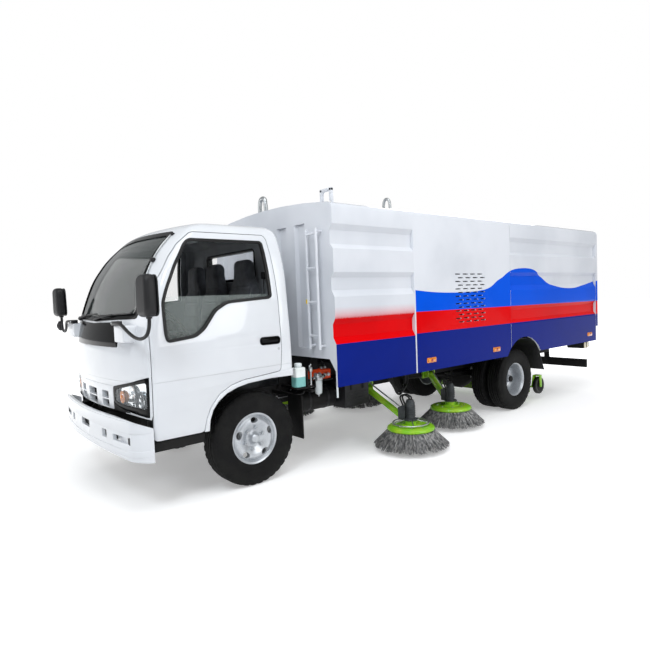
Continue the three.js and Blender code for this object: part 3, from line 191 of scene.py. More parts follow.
WHITE = "#dadde3"
DEEP_BLUE = "#001c7e"
AZURE = "#0054dc"
RED = "#dc0006"
# The painted bands, in metres: how soft an edge is, where the tank meets the engine bay,
# the foot of the red band on the tank and behind it, and the red band's top behind the
# tank, which falls by RED_FALL a metre.
BAND_EDGE = 0.0012
SEAM_Y = AXLE_Y + 1.762
TANK_RED_FOOT = 1.108
RED_FOOT = 1.1245
RED_TOP = 1.340
RED_FALL = 0.0063
# The tank's red band ends in a sprayed haze between these heights, speckled by drops.
HAZE_FOOT = 1.328
HAZE_TOP = 1.432
HAZE_POWER = 0.42
DROP_SCALE = 70.0
DROP_REACH = 0.02
# The top edge of the azure band as [station, height] in millimetres.
WAVE = [(1767, 1557), (2349, 1519), (2916, 1534), (3263, 1655), (3820, 1786), (4204, 1699),
        (4564, 1566), (4982, 1519), (5400, 1552), (5870, 1620)]
WAVE_FOOT = 1400
WAVE_RISE = 500


def wave_crest(tree, y):
    """The height of the azure band's top edge at a station, in metres."""
    first, last = WAVE[0][0], WAVE[-1][0]
    along = add(tree, "ShaderNodeMapRange", {1: first / 1000 + AXLE_Y, 2: last / 1000 + AXLE_Y},
                {0: y}).outputs[0]
    curve = add(tree, "ShaderNodeFloatCurve", links={1: along})
    points = curve.mapping.curves[0].points
    shares = [((station - first) / (last - first), (level - WAVE_FOOT) / WAVE_RISE)
              for station, level in WAVE]
    points[0].location = shares[0]
    for share in shares[1:-1]:
        points.new(*share)
    points[-1].location = shares[-1]
    curve.mapping.update()
    rise = maths(tree, "MULTIPLY", curve.outputs[0], WAVE_RISE / 1000)
    return maths(tree, "ADD", rise, WAVE_FOOT / 1000)


def body_bands(tree, spot):
    """White sheet with blue, red and azure bands along the sides of the body."""
    where = spot.outputs["Object"]
    x, y, z = add(tree, "ShaderNodeSeparateXYZ", links={0: where}).outputs
    facing = add(tree, "ShaderNodeSeparateXYZ", links={0: spot.outputs["Normal"]})

    def past(value, level):
        return ramp(tree, value, level - BAND_EDGE, level + BAND_EDGE)

    fall = maths(tree, "MULTIPLY", maths(tree, "SUBTRACT", y, WAVE[0][0] / 1000 + AXLE_Y), -RED_FALL)
    over_red = maths(tree, "SUBTRACT", z, maths(tree, "ADD", fall, RED_TOP))
    over_azure = maths(tree, "SUBTRACT", z, wave_crest(tree, y))
    rear = mixed(tree, past(z, RED_FOOT), DEEP_BLUE, RED)
    rear = mixed(tree, past(over_red, 0), rear, AZURE)
    rear = mixed(tree, past(over_azure, 0), rear, WHITE)
    spray = add(tree, "ShaderNodeTexNoise", {"Scale": DROP_SCALE, "Detail": 6.0}, {0: where})
    speckle = maths(tree, "MULTIPLY", maths(tree, "SUBTRACT", spray.outputs[0], 0.5), DROP_REACH)
    haze = add(tree, "ShaderNodeMapRange", {1: HAZE_FOOT, 2: HAZE_TOP},
               {0: maths(tree, "ADD", z, speckle)}).outputs[0]
    front = mixed(tree, past(z, TANK_RED_FOOT), DEEP_BLUE, RED)
    front = mixed(tree, maths(tree, "POWER", haze, HAZE_POWER), front, WHITE)
    sides = mixed(tree, past(y, SEAM_Y), front, rear)
    # The corner post at the seam, faces that look inwards and the middle stay white.
    post = maths(tree, "ABSOLUTE", maths(tree, "SUBTRACT", y, SEAM_Y))
    sides = mixed(tree, ramp(tree, post, 0.008, 0.010), WHITE, sides)
    outward = maths(tree, "MULTIPLY", x, facing.outputs[0])
    sides = mixed(tree, ramp(tree, outward, 0.30, 0.34), WHITE, sides)
    return mixed(tree, ramp(tree, maths(tree, "ABSOLUTE", x), 0.985, 0.995), WHITE, sides)


def orange_peel(depth):
    """The long soft ripple of sprayed paint, in mm."""
    def height(tree, spot):
        ripple = add(tree, "ShaderNodeTexNoise", {"Scale": 5.0, "Detail": 1.0},
                     {0: spot.outputs["Object"]})
        return maths(tree, "MULTIPLY", ripple.outputs[0], depth / 1000)
    return height


# The step pressed along the doors, in metres: its height over the front axle, how much it
# climbs in a metre, how wide its slope is and how deep it goes.
STEP_LEVEL = 0.981
STEP_CLIMB = 0.016
STEP_SLOPE = 0.010
STEP_DEPTH = 0.0035


def cab_creases(tree, spot):
    """A pressed step that runs back from the lamps along the doors."""
    axes = add(tree, "ShaderNodeSeparateXYZ", links={0: spot.outputs["Object"]})
    rise = maths(tree, "MULTIPLY", maths(tree, "SUBTRACT", axes.outputs[1], AXLE_Y), STEP_CLIMB)
    level = maths(tree, "SUBTRACT", maths(tree, "SUBTRACT", axes.outputs[2], rise), STEP_LEVEL)
    step = ramp(tree, level, -STEP_SLOPE, 0.0)
    return maths(tree, "ADD", maths(tree, "MULTIPLY", step, STEP_DEPTH),
                 orange_peel(0.9)(tree, spot))


# Sprayed coach enamel over steel sheet: glossy, with a faint orange peel.
coach_paint = finish("sprayed_coach_enamel", WHITE, "#f2f3f4", 9, 700, (0.14, 0.22), lift=0.004,
                     coat=0.02, colour=body_bands, height=orange_peel(0.8), gloss=0.04)
# Baked cab enamel: smoother than the body's, the same white.
cab_paint = finish("baked_cab_enamel", "#dcdfe3", "#d6d9de", 9, 600, (0.10, 0.18), lift=0.002,
                   coat=0.35, height=cab_creases)
# Brushed-on lime enamel on welded steel: soft gloss with dull patches.
lime_enamel = finish("brushed_lime_enamel", "#7fc21e", "#9cc52e", 5, 90, (0.26, 0.5), lift=0.05,
                     coat=0.3)
# Chassis black over forged and rolled steel: satin, dusty in patches.
chassis_black = finish("satin_chassis_black", "#0a0a0b", "#151413", 4, 160, (0.45, 0.75), lift=0.06,
                       gloss=0.2)
# Cast iron and machined steel under a dark machinery paint.
machine_grey = finish("machinery_grey_enamel", "#34373a", "#4a4d4f", 3, 60, (0.35, 0.6),
                      metallic=0.35, lift=0.08)
# Zinc plated rod and tube: bright, slightly milky.
zinc_steel = finish("zinc_plated_steel", "#b9bcbd", "#9fa3a6", 3, 30, (0.22, 0.42),
                    metallic=0.9, lift=0.02)
# Silver wheel enamel over pressed steel: fine metal flake.
wheel_silver = finish("silver_wheel_enamel", "#aeb2b7", "#bec2c6", 1.5, 120, (0.25, 0.4),
                      metallic=0.6, lift=0.01, coat=0.15)
# Moulded tyre rubber: matt, with a dry grey bloom.
tyre_rubber = finish("moulded_tyre_rubber", "#0b0b0c", "#151514", 6, 120, (0.6, 0.85), lift=0.12,
                     gloss=0.18)
# Yellow vinyl label on the ladder.
yellow_tag = finish("yellow_vinyl_label", "#f2d21a", "#e2c010", 3, 20, (0.3, 0.45))
# Soft black rubber: window seals, flaps and hoses.
seal_rubber = finish("extruded_seal_rubber", "#0b0b0c", "#131314", 3, 60, (0.35, 0.5), lift=0.02)
# Grained black polypropylene mouldings.
grained_black = finish("grained_polypropylene", "#121214", "#1a1a1c", 1.6, 200, (0.4, 0.55),
                       lift=0.06)
# Polished black panel: deep gloss.
gloss_black = finish("polished_black_acrylic", "#050506", "#090a0c", 4, 300, (0.08, 0.16), coat=0.04,
                     gloss=0.08)
# Grey moulded cab trim.
cab_trim = finish("moulded_grey_trim", "#8e9296", "#83878b", 1.6, 200, (0.5, 0.65), lift=0.06)


THREAD_LIFT = 0.4  # mm


def weave(tree, spot):
    """Threads 2.4 mm apart in two directions, drawn coarse enough to show."""
    lifts = []
    for heading in (0.0, math.pi / 2):
        crossed = add(tree, "ShaderNodeMapping", {2: (0, 0, heading)}, {0: spot.outputs["Object"]})
        threads = add(tree, "ShaderNodeTexWave", {"Scale": 130.0}, {0: crossed.outputs[0]})
        lifts.append(threads.outputs[1])
    return maths(tree, "MULTIPLY", maths(tree, "ADD", *lifts), THREAD_LIFT / 1000)


# Woven seat cloth under a thin protective film: dark grey.
seat_cloth = finish("woven_seat_cloth", "#3a3d42", "#4c5056", 2.4, 60, (0.6, 0.8), sheen=0.3,
                    height=weave)
# Tempered float glass with a faint green tint.
clear_glass = finish("tempered_float_glass", "#cfdcd8", "#c4d4cf", 40, 900, (0.0, 0.02),
                     alpha=0.10, ior=1.5, coat=0.6)
# Laminated windscreen glass with a faint green tint, darkened well past it: the dark green is painted
# reflection and shade.
screen_glass_painted_reflection = finish("laminated_tinted_glass", "#1c2826", "#24332f", 40, 900, (0.0, 0.02),
                      alpha=0.6, ior=1.5, coat=0.8)
# Moulded polycarbonate lens over the lamp.
lamp_lens = finish("moulded_clear_lens", "#e8eef2", "#dfe6ea", 12, 90, (0.02, 0.05), alpha=0.10,
                   coat=0.4)
# Vacuum plated reflector bowl.
reflector = finish("plated_reflector", "#dfe2e4", "#cfd3d6", 8, 40, (0.05, 0.14), metallic=1.0)
# Amber acrylic for indicators and side markers.
amber_lens = finish("moulded_amber_acrylic", "#e58a12", "#c96e08", 5, 18, (0.1, 0.25), coat=0.8,
                    lift=0.25)
# Red acrylic for the tail lamps.
red_lens = finish("moulded_red_acrylic", "#a80f12", "#8a0a0c", 5, 18, (0.1, 0.25), coat=0.8,
                  lift=0.25)
# Cream acrylic reversing lamp.
cream_lens = finish("moulded_cream_acrylic", "#e9dfc2", "#d8cba4", 5, 18, (0.12, 0.25), coat=0.6)
# Milky blown polyethylene bottle.
milk_plastic = finish("blown_polyethylene", "#dde3e4", "#cfd7d8", 6, 50, (0.3, 0.45), coat=0.2)
# Orange cast valve body.
valve_orange = finish("orange_valve_enamel", "#f4511e", "#e04412", 3, 30, (0.3, 0.5), lift=0.06)
# Drawn polypropylene bristle mixed with flat wire: grey, with pale streaks that run down the tufts at random.
bristle_grey = finish("drawn_brush_bristle", "#58595b", "#a9a8a6", 3, 20, (0.45, 0.7),
                      stretch=(1, 1, 0.2))


# ---- making meshes ----------------------------------------------------------------------
class Solid:
    """Closed parts in millimetres, with a finish number for each face."""

    def __init__(self):
        self.points, self.faces, self.marks = [], [], []

    def take(self, part, mark=0):
        """Adds a closed part, turned so that it faces outwards."""
        points, faces = part
        volume = 0.0
        for face in faces:
            a = points[face[0]]
            for b, c in zip(face[1:-1], face[2:]):
                volume += Vector(a).dot(Vector(points[b]).cross(Vector(points[c])))
        first = len(self.points)
        self.points += [tuple(p) for p in points]
        self.faces += [[first + i for i in (face if volume > 0 else face[::-1])] for face in faces]
        self.marks += [mark] * len(faces)
        return self

    def mirror(self):
        """The same parts on the other side of the vehicle too."""
        other = Solid()
        other.points = self.points + [(-x, y, z) for x, y, z in self.points]
        start = len(self.points)
        other.faces = self.faces + [[start + i for i in face[::-1]] for face in self.faces]
        other.marks = self.marks * 2
        return other

    def flipped(self, sign):
        """These parts, or their mirror image when sign is -1."""
        if sign > 0:
            return self
        other = Solid()
        other.points = [(-x, y, z) for x, y, z in self.points]
        other.faces = [face[::-1] for face in self.faces]
        other.marks = self.marks
        return other

    def moved(self, matrix):
        """These parts moved and turned by a matrix."""
        other = Solid()
        other.points = [tuple(matrix @ Vector(p)) for p in self.points]
        other.faces, other.marks = self.faces, self.marks
        return other

    def join(self, other):
        """Takes in another solid's parts with their finish numbers."""
        start = len(self.points)
        self.points += other.points
        self.faces += [[start + i for i in face] for face in other.faces]
        self.marks += other.marks
        return self


def on_axis(axis, a, b, along):
    """The point at a and b on the two other axes and at a place along this one."""
    return {"x": (along, a, b), "y": (a, along, b), "z": (a, b, along)}[axis]


def prism(outline, axis, low, high):
    """An outline in the two other axes, run along an axis."""
    n = len(outline)
    points = [on_axis(axis, a, b, end) for end in (low, high) for a, b in outline]
    faces = [list(range(n)), list(range(2 * n - 1, n - 1, -1))]
    faces += [[i, n + i, n + (i + 1) % n, (i + 1) % n] for i in range(n)]
    return points, faces


def box(x0, x1, y0, y1, z0, z1):
    """A block between two stations on each axis."""
    return prism([(x0, y0), (x1, y0), (x1, y1), (x0, y1)], "z", z0, z1)


def ring_spots(count, radius, x, y, phase=0.0):
    """Points spaced evenly on a circle, each with its angle."""
    for k in range(count):
        angle = phase + TURN * k / count
        yield x + radius * math.cos(angle), y + radius * math.sin(angle), angle


def rounded(outline, radius, steps=4):
    """An outline with its corners turned by a radius."""
    line = []
    count = len(outline)
    for i, corner in enumerate(outline):
        here = Vector(corner)
        to_last = Vector(outline[i - 1]) - here
        to_next = Vector(outline[(i + 1) % count]) - here
        reach = min(radius, to_last.length * 0.48, to_next.length * 0.48)
        start, end = here + to_last.normalized() * reach, here + to_next.normalized() * reach
        for k in range(steps + 1):
            t = k / steps
            line.append(tuple(start * (1 - t) ** 2 + here * 2 * t * (1 - t) + end * t * t))
    return line


def slab(left, right, low, high, radius, steps=4):
    """The outline of a rectangle with its corners turned by a radius."""
    return rounded([(left, low), (right, low), (right, high), (left, high)], radius, steps)


def inset(outline, gap):
    """An outline moved inwards by a gap, or outwards by a negative one."""
    count = len(outline)
    area = sum(outline[i - 1][0] * outline[i][1] - outline[i][0] * outline[i - 1][1]
               for i in range(count))
    sign = 1 if area > 0 else -1
    line = []
    for i in range(count):
        here = Vector(outline[i])
        back = (here - Vector(outline[i - 1])).normalized()
        ahead = (Vector(outline[(i + 1) % count]) - here).normalized()
        normal = Vector((-back.y - ahead.y, back.x + ahead.x)) * sign
        normal.normalize()
        side = Vector((-back.y, back.x)) * sign
        line.append(tuple(here + normal * gap / max(normal.dot(side), 0.3)))
    return line


def turned(profile, axis, centre, steps=48, shape=None):
    """A closed profile of [place on the axis, radius] turned about an axis through a
    centre. shape changes a radius by the point's number and the step's."""
    points, count = [], len(profile)
    for k in range(steps):
        angle = TURN * k / steps
        for j, (a, r) in enumerate(profile):
            r = shape(j, k, r) if shape else r
            offset = on_axis(axis, r * math.cos(angle), r * math.sin(angle), a)
            points.append(tuple(c + o for c, o in zip(centre, offset)))
    faces = []
    for k in range(steps):
        for j in range(count):
            i, n = j, (j + 1) % count
            if profile[i][1] == 0 and profile[n][1] == 0:
                continue
            ring, after = k * count, ((k + 1) % steps) * count
            faces.append([ring + i, ring + n, after + n, after + i])
    return points, faces


def stud(axis, centre, start, end, radius, steps=16, far=None):
    """A round bar from start to end along an axis through a centre, tapered to `far`."""
    profile = [(start, 0), (start, radius), (end, radius if far is None else far), (end, 0)]
    return turned(profile, axis, centre, steps)


def tube(path, radius, sides=12, closed=False):
    """A round bar along a path of points."""
    path = [Vector(p) for p in path]
    count = len(path)
    points, faces = [], []
    way = (path[1] - path[0]).normalized()
    side = way.orthogonal().normalized()
    for i, p in enumerate(path):
        before = path[i - 1] if closed or i else path[i]
        after = path[(i + 1) % count] if closed or i < count - 1 else path[i]
        way = (after - before).normalized()
        side = (side - way * side.dot(way)).normalized()
        up = way.cross(side)
        r = radius[i] if isinstance(radius, (list, tuple)) else radius
        for k in range(sides):
            a = TURN * k / sides
            points.append(tuple(p + side * (r * math.cos(a)) + up * (r * math.sin(a))))
    for i in range(count if closed else count - 1):
        for k in range(sides):
            n = (k + 1) % sides
            a, b = i * sides, ((i + 1) % count) * sides
            faces.append([a + k, b + k, b + n, a + n])
    if not closed:
        faces.append(list(range(sides)))
        faces.append([(count - 1) * sides + k for k in range(sides - 1, -1, -1)])
    return points, faces


def between(a, b, c, d, t):
    """The smooth line through four values or points, between the second and the third."""
    return 0.5 * (2 * b + (c - a) * t + (2 * a - 5 * b + 4 * c - d) * t * t
                  + (3 * b - a - 3 * c + d) * t ** 3)


def bend(points, steps=6):
    """A smooth line through the given points."""
    p = [Vector(points[0])] + [Vector(q) for q in points] + [Vector(points[-1])]
    line = [between(*p[i - 1 : i + 3], k / steps) for i in range(1, len(p) - 2) for k in range(steps)]
    return line + [p[-2]]


# How near points are merged in a drawn solid and in a CAD node, how short an edge may be,
# in metres, and how far faces may lean and still count as flat, in radians.
DRAWN_WELD = 2e-6
NODE_WELD = 2e-5
SHORT_EDGE = 1e-7
FLAT_LEAN = 0.009


def mesh_of(name, solid):
    """A mesh for a solid, in metres, with its doubled points merged."""
    mesh = bpy.data.meshes.new(name)
    mesh.from_pydata([place(*p) for p in solid.points], [], solid.faces)
    mesh.polygons.foreach_set("material_index", solid.marks)
    work = bmesh.new()
    work.from_mesh(mesh)
    bmesh.ops.remove_doubles(work, verts=work.verts, dist=DRAWN_WELD)
    bmesh.ops.dissolve_degenerate(work, edges=work.edges, dist=SHORT_EDGE)
    work.to_mesh(mesh)
    work.free()
    return mesh


def loose(solid, name="tool"):
    """An object for a solid that isn't a piece yet."""
    made = bpy.data.objects.new(name, mesh_of(name, solid))
    scene.collection.objects.link(made)
    return made


def settle(obj):
    """Turns an object's modifiers into its plain mesh."""
    evaluated = obj.evaluated_get(bpy.context.evaluated_depsgraph_get())
    mesh = bpy.data.meshes.new_from_object(evaluated)
    obj.modifiers.clear()
    obj.data = mesh
    return obj


def carve(obj, tool, operation="DIFFERENCE"):
    """Cuts an object with a solid, or keeps what both hold. The second solver has its turn
    only when the first leaves nothing."""
    if isinstance(tool, Solid):
        tool = loose(tool)
    whole = obj.data
    for solver in ("EXACT", "MANIFOLD"):
        obj.data = whole
        step = obj.modifiers.new("carve", "BOOLEAN")
        step.object, step.operation, step.solver = tool, operation, solver
        bpy.context.view_layer.update()
        settle(obj)
        if len(obj.data.polygons):
            break
    bpy.data.objects.remove(tool)
    return obj


def solid_of(obj):
    """The solid of an object that isn't a piece. The object is removed."""
    made = Solid()
    made.points = [tuple(from_axle(v.co)) for v in obj.data.vertices]
    made.faces = [list(f.vertices) for f in obj.data.polygons]
    made.marks = [0] * len(made.faces)
    bpy.data.objects.remove(obj)
    return made


def across(obj, sign):
    """Turns an object drawn on the left into its mirror image when sign is -1."""
    if sign < 0:
        obj.data.transform(Matrix.Scale(-1, 4, (1, 0, 0)))
        obj.data.flip_normals()
    return obj


def complete(obj, name, body, finishes, bevel=0.0, angle=32, slot=None, stands_for=(), choose=None,
             segments=2):
    """Gives a piece its edges, smooth faces, finishes and body."""
    obj.name = name
    if bevel:
        step = obj.modifiers.new("edge", "BEVEL")
        step.width, step.segments, step.limit_method = bevel / 1000, segments, "ANGLE"
        step.angle_limit, step.use_clamp_overlap = math.radians(angle), True
        bpy.context.view_layer.update()
        settle(obj)
    mesh = obj.data
    mesh.name = name
    finishes = finishes if isinstance(finishes, (list, tuple)) else [finishes]
    marks = [face.material_index for face in mesh.polygons]
    mesh.materials.clear()
    for each in finishes:
        mesh.materials.append(each)
    if choose:
        marks = [choose(from_axle(face.center), face.normal) for face in mesh.polygons]
    mesh.polygons.foreach_set("material_index", [min(m, len(finishes) - 1) for m in marks])
    mesh.shade_smooth()
    mesh.set_sharp_from_angle(angle=math.radians(angle))
    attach(obj, body)
    if stands_for:
        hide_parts(*stands_for)
    return obj


def piece(name, body, solid, finishes, **how):
    """A piece made from a solid as it is."""
    return complete(loose(solid, name), name, body, finishes, **how)


def pair(name, body, solid, finishes, **how):
    """A piece drawn on the left and its mirror image. A {} in a text is the side's name."""
    for side, sign in SIDES:
        own = {key: [each.format(side) for each in value] if key == "stands_for" else value
               for key, value in how.items()}
        piece(name.format(side), body.format(side), solid.flipped(sign), finishes, **own)


def polished(node, finishes, **how):
    """A welded copy of a CAD node with smooth faces that stands for it."""
    source = nodes[node]
    made = bpy.data.objects.new(node, source.data.copy())
    scene.collection.objects.link(made)
    work = bmesh.new()
    work.from_mesh(made.data)
    bmesh.ops.remove_doubles(work, verts=work.verts, dist=NODE_WELD)
    bmesh.ops.dissolve_limit(work, angle_limit=FLAT_LEAN, verts=work.verts, edges=work.edges)
    work.to_mesh(made.data)
    work.free()
    if "custom_normal" in made.data.attributes:
        made.data.attributes.remove(made.data.attributes["custom_normal"])
    return complete(made, node + "_made", source["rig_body"], finishes, stands_for=(node,),
                    slot=slot_of[node], **how)


# ---- the cab's skin ------------------------------------------------------------------------
CAB_BACK = 350
# Height, half width, foremost station, rear wall and corner radius of the cab's skin.
CAB_LEVELS = [
    (545, 905, -1000, CAB_BACK, 60), (950, 928, -1010, CAB_BACK, 60),
    (1207, 922, -1000, CAB_BACK, 60), (1417, 905, -958, CAB_BACK, 60),
    (1701, 880, -860, CAB_BACK - 2, 58), (1860, 850, -768, CAB_BACK - 5, 56),
    (1960, 820, -690, CAB_BACK - 8, 54), (2057, 782, -590, CAB_BACK - 14, 52),
    (2112, 735, -520, CAB_BACK - 36, 60), (2145, 640, -425, CAB_BACK - 96, 80),
    (2160, 420, -240, CAB_BACK - 230, 120),
]
FRONT_BOW = 122  # how far the front falls back from its middle to its corners
REAR_CORNER = 40
ROOF_START = 2057
ROOF_RISE = 55
CAB_WALL = 42


def cab_ring(half, front, back, corner, z, margin):
    """The cab's plan at one height, moved inwards by a margin."""
    w = half - margin
    r = max(corner - margin, 12)
    flat = w - r
    line = []
    for i in range(15):
        x = flat * i / 14
        line.append((x, front + margin + FRONT_BOW * (x / half) ** 2))
    edge = line[-1][1]
    for i in range(1, 9):
        a = math.radians(90 * i / 8)
        line.append((flat + r * math.sin(a), edge + r * (1 - math.cos(a)) + 0.25 * r * math.sin(a)))
    rear, rr = back - margin, REAR_CORNER
    for i in range(6):
        a = math.radians(90 * i / 5)
        line.append((w - rr * (1 - math.cos(a)), rear - rr * (1 - math.sin(a))))
    for i in range(1, 5):
        line.append(((w - rr) * (1 - i / 4), rear))
    ring = line + [(-x, y) for x, y in line[-2:0:-1]]
    return [(x, y, z) for x, y in ring]


def cab_rings(margin, steps=4):
    """Level rings from the sills to the roof, smooth from level to level."""
    rings, last = [], len(CAB_LEVELS) - 1
    for i in range(last):
        four = [CAB_LEVELS[min(max(k, 0), last)] for k in range(i - 1, i + 3)]
        for k in range(steps):
            z, half, front, back, corner = (between(*values, k / steps) for values in zip(*four))
            drop = margin * min(max((z - ROOF_START) / ROOF_RISE, 0), 1)
            rings.append(cab_ring(half, front, back, corner, z - drop, margin))
    z, half, front, back, corner = CAB_LEVELS[-1]
    rings.append(cab_ring(half, front, back, corner, z - margin, margin))
    # The roof ends in a ring of half the size, which a flat cap can close.
    edge = rings[-1]
    middle = sum(y for _, y, _ in edge) / len(edge)
    rings.append([(x / 2, (y + middle) / 2, z - margin + 3) for x, y, _ in edge])
    return rings


def ring_walls(count, rings):
    """The faces between neighbouring rings of count points."""
    faces = []
    for i in range(rings - 1):
        for k in range(count):
            n = (k + 1) % count
            faces.append([i * count + k, i * count + n, (i + 1) * count + n, (i + 1) * count + k])
    return faces


def cab_skin(margin):
    """The cab as one full block, moved inwards by a margin."""
    rings = cab_rings(margin)
    count = len(rings[0])
    top = (len(rings) - 1) * count
    faces = [list(range(count - 1, -1, -1)), [top + k for k in range(count)]]
    return Solid().take(([p for ring in rings for p in ring], faces + ring_walls(count, len(rings))))


def cab_shell(outer, inner):
    """The space between two skins, closed along the sills."""
    out, back = cab_rings(outer), cab_rings(inner)
    count = len(out[0])
    second = len(out) * count
    made = Solid()
    made.points = [p for ring in out + back for p in ring]
    for face in ring_walls(count, len(out)):
        made.faces += [face, [second + j for j in face[::-1]]]
    top = second - count
    made.faces.append([top + k for k in range(count)])
    made.faces.append([second + top + k for k in range(count - 1, -1, -1)])
    for k in range(count):
        n = (k + 1) % count
        made.faces.append([k, second + k, second + n, n])
    made.marks = [0] * len(made.faces)
    return made


def both(part):
    """A part and its mirror image on the right."""
    return Solid().take(part).mirror()


def span(outline, axis, low, high):
    """An outline run along an axis, as a solid."""
    return Solid().take(prism(outline, axis, low, high))


def cab_layer(outer, inner, region, *holes):
    """What a region covers of the space between two skins, less some holes."""
    made = loose(cab_shell(outer, inner), "layer")
    carve(made, region, "INTERSECT")
    for hole in holes:
        carve(made, hole)
    return made


# Outlines from the side as [station, height], and from the front as [x, height].
DOOR = [(-857, 548), (-480, 548), (-462, 640), (-425, 730), (-350, 818), (-250, 872), (-140, 900),
        (40, 915), (215, 930), (232, 1100), (236, 1530), (205, 2020), (185, 2052), (-455, 2052),
        (-572, 1957), (-652, 1857), (-748, 1699), (-813, 1544), (-853, 1339), (-860, 1017)]
SIDE_WINDOW = [(-752, 1300), (-738, 1238), (-515, 1263), (-440, 1312), (-330, 1450), (-228, 1504),
               (150, 1528), (179, 1545), (160, 1985), (141, 2001), (-490, 2001), (-535, 1962),
               (-640, 1795), (-718, 1629), (-755, 1523)]
WINDSCREEN = [(-726, 1420), (0, 1402), (726, 1420), (738, 1450), (604, 2062), (560, 2078), (0, 2092),
              (-560, 2078), (-604, 2062), (-738, 1450)]
REAR_WINDOW = [(-440, 1705), (440, 1705), (465, 1730), (465, 1960), (440, 1985), (-440, 1985),
               (-465, 1960), (-465, 1730)]
LAMP = [(436, 785), (436, 912), (690, 958), (960, 1020), (960, 712), (600, 745)]
GRILLE = [(-434, 735), (434, 735), (434, 916), (-434, 916)]
GARNISH = [(-524, 1207), (524, 1207), (530, 1396), (0, 1384), (-530, 1396)]
side_window = rounded(SIDE_WINDOW, 34)
windscreen_line = rounded(WINDSCREEN, 40)
rear_line = rounded(REAR_WINDOW, 30)
door_line = rounded(DOOR, 26)
lamp_line = rounded(LAMP, 22)
WHEEL_HOUSE = [(-467, 740), (-440, 790), (-380, 845), (-300, 872), (-200, 886), (-100, 890)]
UNDERSIDE = ([(-1150, 754), (-1150, 2300), (450, 2300), (450, 884)] + WHEEL_HOUSE[::-1]
             + [(-862, 740), (-870, 704), (-1006, 742)])
INSIDE = [(-1150, 830), (-1150, 2300), (450, 2300), (450, 925), (-100, 930), (-330, 915),
          (-440, 870), (-510, 770), (-900, 770)]
# How far the cutters reach: right through the cab, through one side of it, from ahead of the
# nose to the windscreen's top, and from ahead of the nose past the lamps.
THROUGH = (-1000, 1000)
ONE_SIDE = (500, 1000)
NOSE = -1150
SCREEN_CUT = (NOSE, -300)
LAMP_CUT = (-1200, -800)
GRILLE_CUT = (NOSE, -945)
DOOR_GAP = 5


def cab_side(centre, normal):
    """0 for painted sheet, 1 for the trim inside and 2 for the sills and the nose's underside."""
    sill = centre.z < 549
    nose = abs(centre.x) < 640 and centre.y < -840 and centre.z < 800
    if sill or nose:
        return 2
    sides = abs(normal.x) > 0.4 and centre.x * normal.x < 0
    front = centre.y < -300 and normal.y > 0.3
    rear = centre.y > 150 and normal.y < -0.3
    roof = normal.z < -0.5
    floor = normal.z > 0.5 and centre.z < 1500
    return 1 if sides or front or rear or roof or floor else 0


shell = loose(cab_skin(0), "cab")
carve(shell, span(UNDERSIDE, "x", *THROUGH), "INTERSECT")
room = loose(cab_skin(CAB_WALL), "room")
carve(room, span(INSIDE, "x", *THROUGH), "INTERSECT")
carve(shell, room)
door_hole = loose(both(prism(inset(door_line, -DOOR_GAP), "x", *ONE_SIDE)), "door_hole")
carve(door_hole, cab_skin(CAB_WALL + DOOR_GAP))
carve(shell, door_hole)
carve(shell, span(windscreen_line, "y", *SCREEN_CUT))
carve(shell, span(rear_line, "y", CAB_BACK - 100, CAB_BACK + 50))
carve(shell, span(GRILLE, "y", *GRILLE_CUT))
carve(shell, both(prism(lamp_line, "y", NOSE, -878)))
complete(shell, "cab_pressed_shell", "cab", [cab_paint, cab_trim, chassis_black], angle=28,
         stands_for=("cab_shell",), slot=slot_of["cab_shell"], choose=cab_side, bevel=2.2)

# Entry steps under the doors, with ribbed treads and the legs of the tilt hinge.
STEP_IN, STEP_OUT = 660, 900
STEP_FRONT, STEP_BACK = -862, -478
STEP_TOP = 538
HINGE_LEG = [(-1036, 534), (-984, 534), (-856, 684), (-850, 752), (-908, 752), (-914, 704), (-1036, 568)]
steps = Solid()
steps.take(box(STEP_IN, STEP_OUT, STEP_FRONT, STEP_BACK, STEP_TOP - 68, STEP_TOP))
steps.take(box(STEP_IN, 812, STEP_FRONT, STEP_FRONT + 16, STEP_TOP - 8, 750))
steps.take(box(STEP_IN, 850, STEP_BACK - 16, STEP_BACK, STEP_TOP - 8, 750))
steps.take(box(STEP_IN, STEP_IN + 16, STEP_FRONT, STEP_BACK, STEP_TOP - 8, 750))
for k in range(6):
    rib = STEP_IN + 30 + 32 * k
    steps.take(box(rib, rib + 18, STEP_FRONT + 22, STEP_BACK - 22, STEP_TOP - 2, STEP_TOP + 5))
steps.take(prism(rounded(HINGE_LEG, 14), "x", 250, 280))
steps.take(stud("x", (0, -1010, 560), 246, 284, 17, 20), 1)
piece("cab_steps", "cab", steps.mirror(), [chassis_black, zinc_steel], bevel=2.5,
      slot="frame_black")

# The lip pressed round the wheel opening stands proud of the cab's side.
LIP_OUTER = [(-476, 546), (-458, 640), (-421, 728), (-347, 814), (-249, 867), (-139, 895),
             (40, 910), (218, 924), (350, 936)]
LIP_INNER = [(350, 876), (120, 880), (-100, 866), (-200, 846), (-290, 812), (-360, 762),
             (-408, 700), (-432, 630), (-440, 546)]
lip = cab_layer(-9, 34, both(prism(LIP_OUTER + LIP_INNER, "x", 700, 1000)))
complete(lip, "wheel_arch_lip", "cab", cab_paint, bevel=5, segments=3, slot="white_paint")

# The lower front apron stays on the bumper, inside the path of the cab's tilting sill.
APRON = [(-880, 690), (880, 690), (880, 716), (600, 722), (-600, 722), (-880, 716)]
apron = cab_layer(44, 58, span(APRON, "y", NOSE, -960))
complete(apron, "front_apron", "chassis", grained_black, bevel=3, slot="plastic_black")

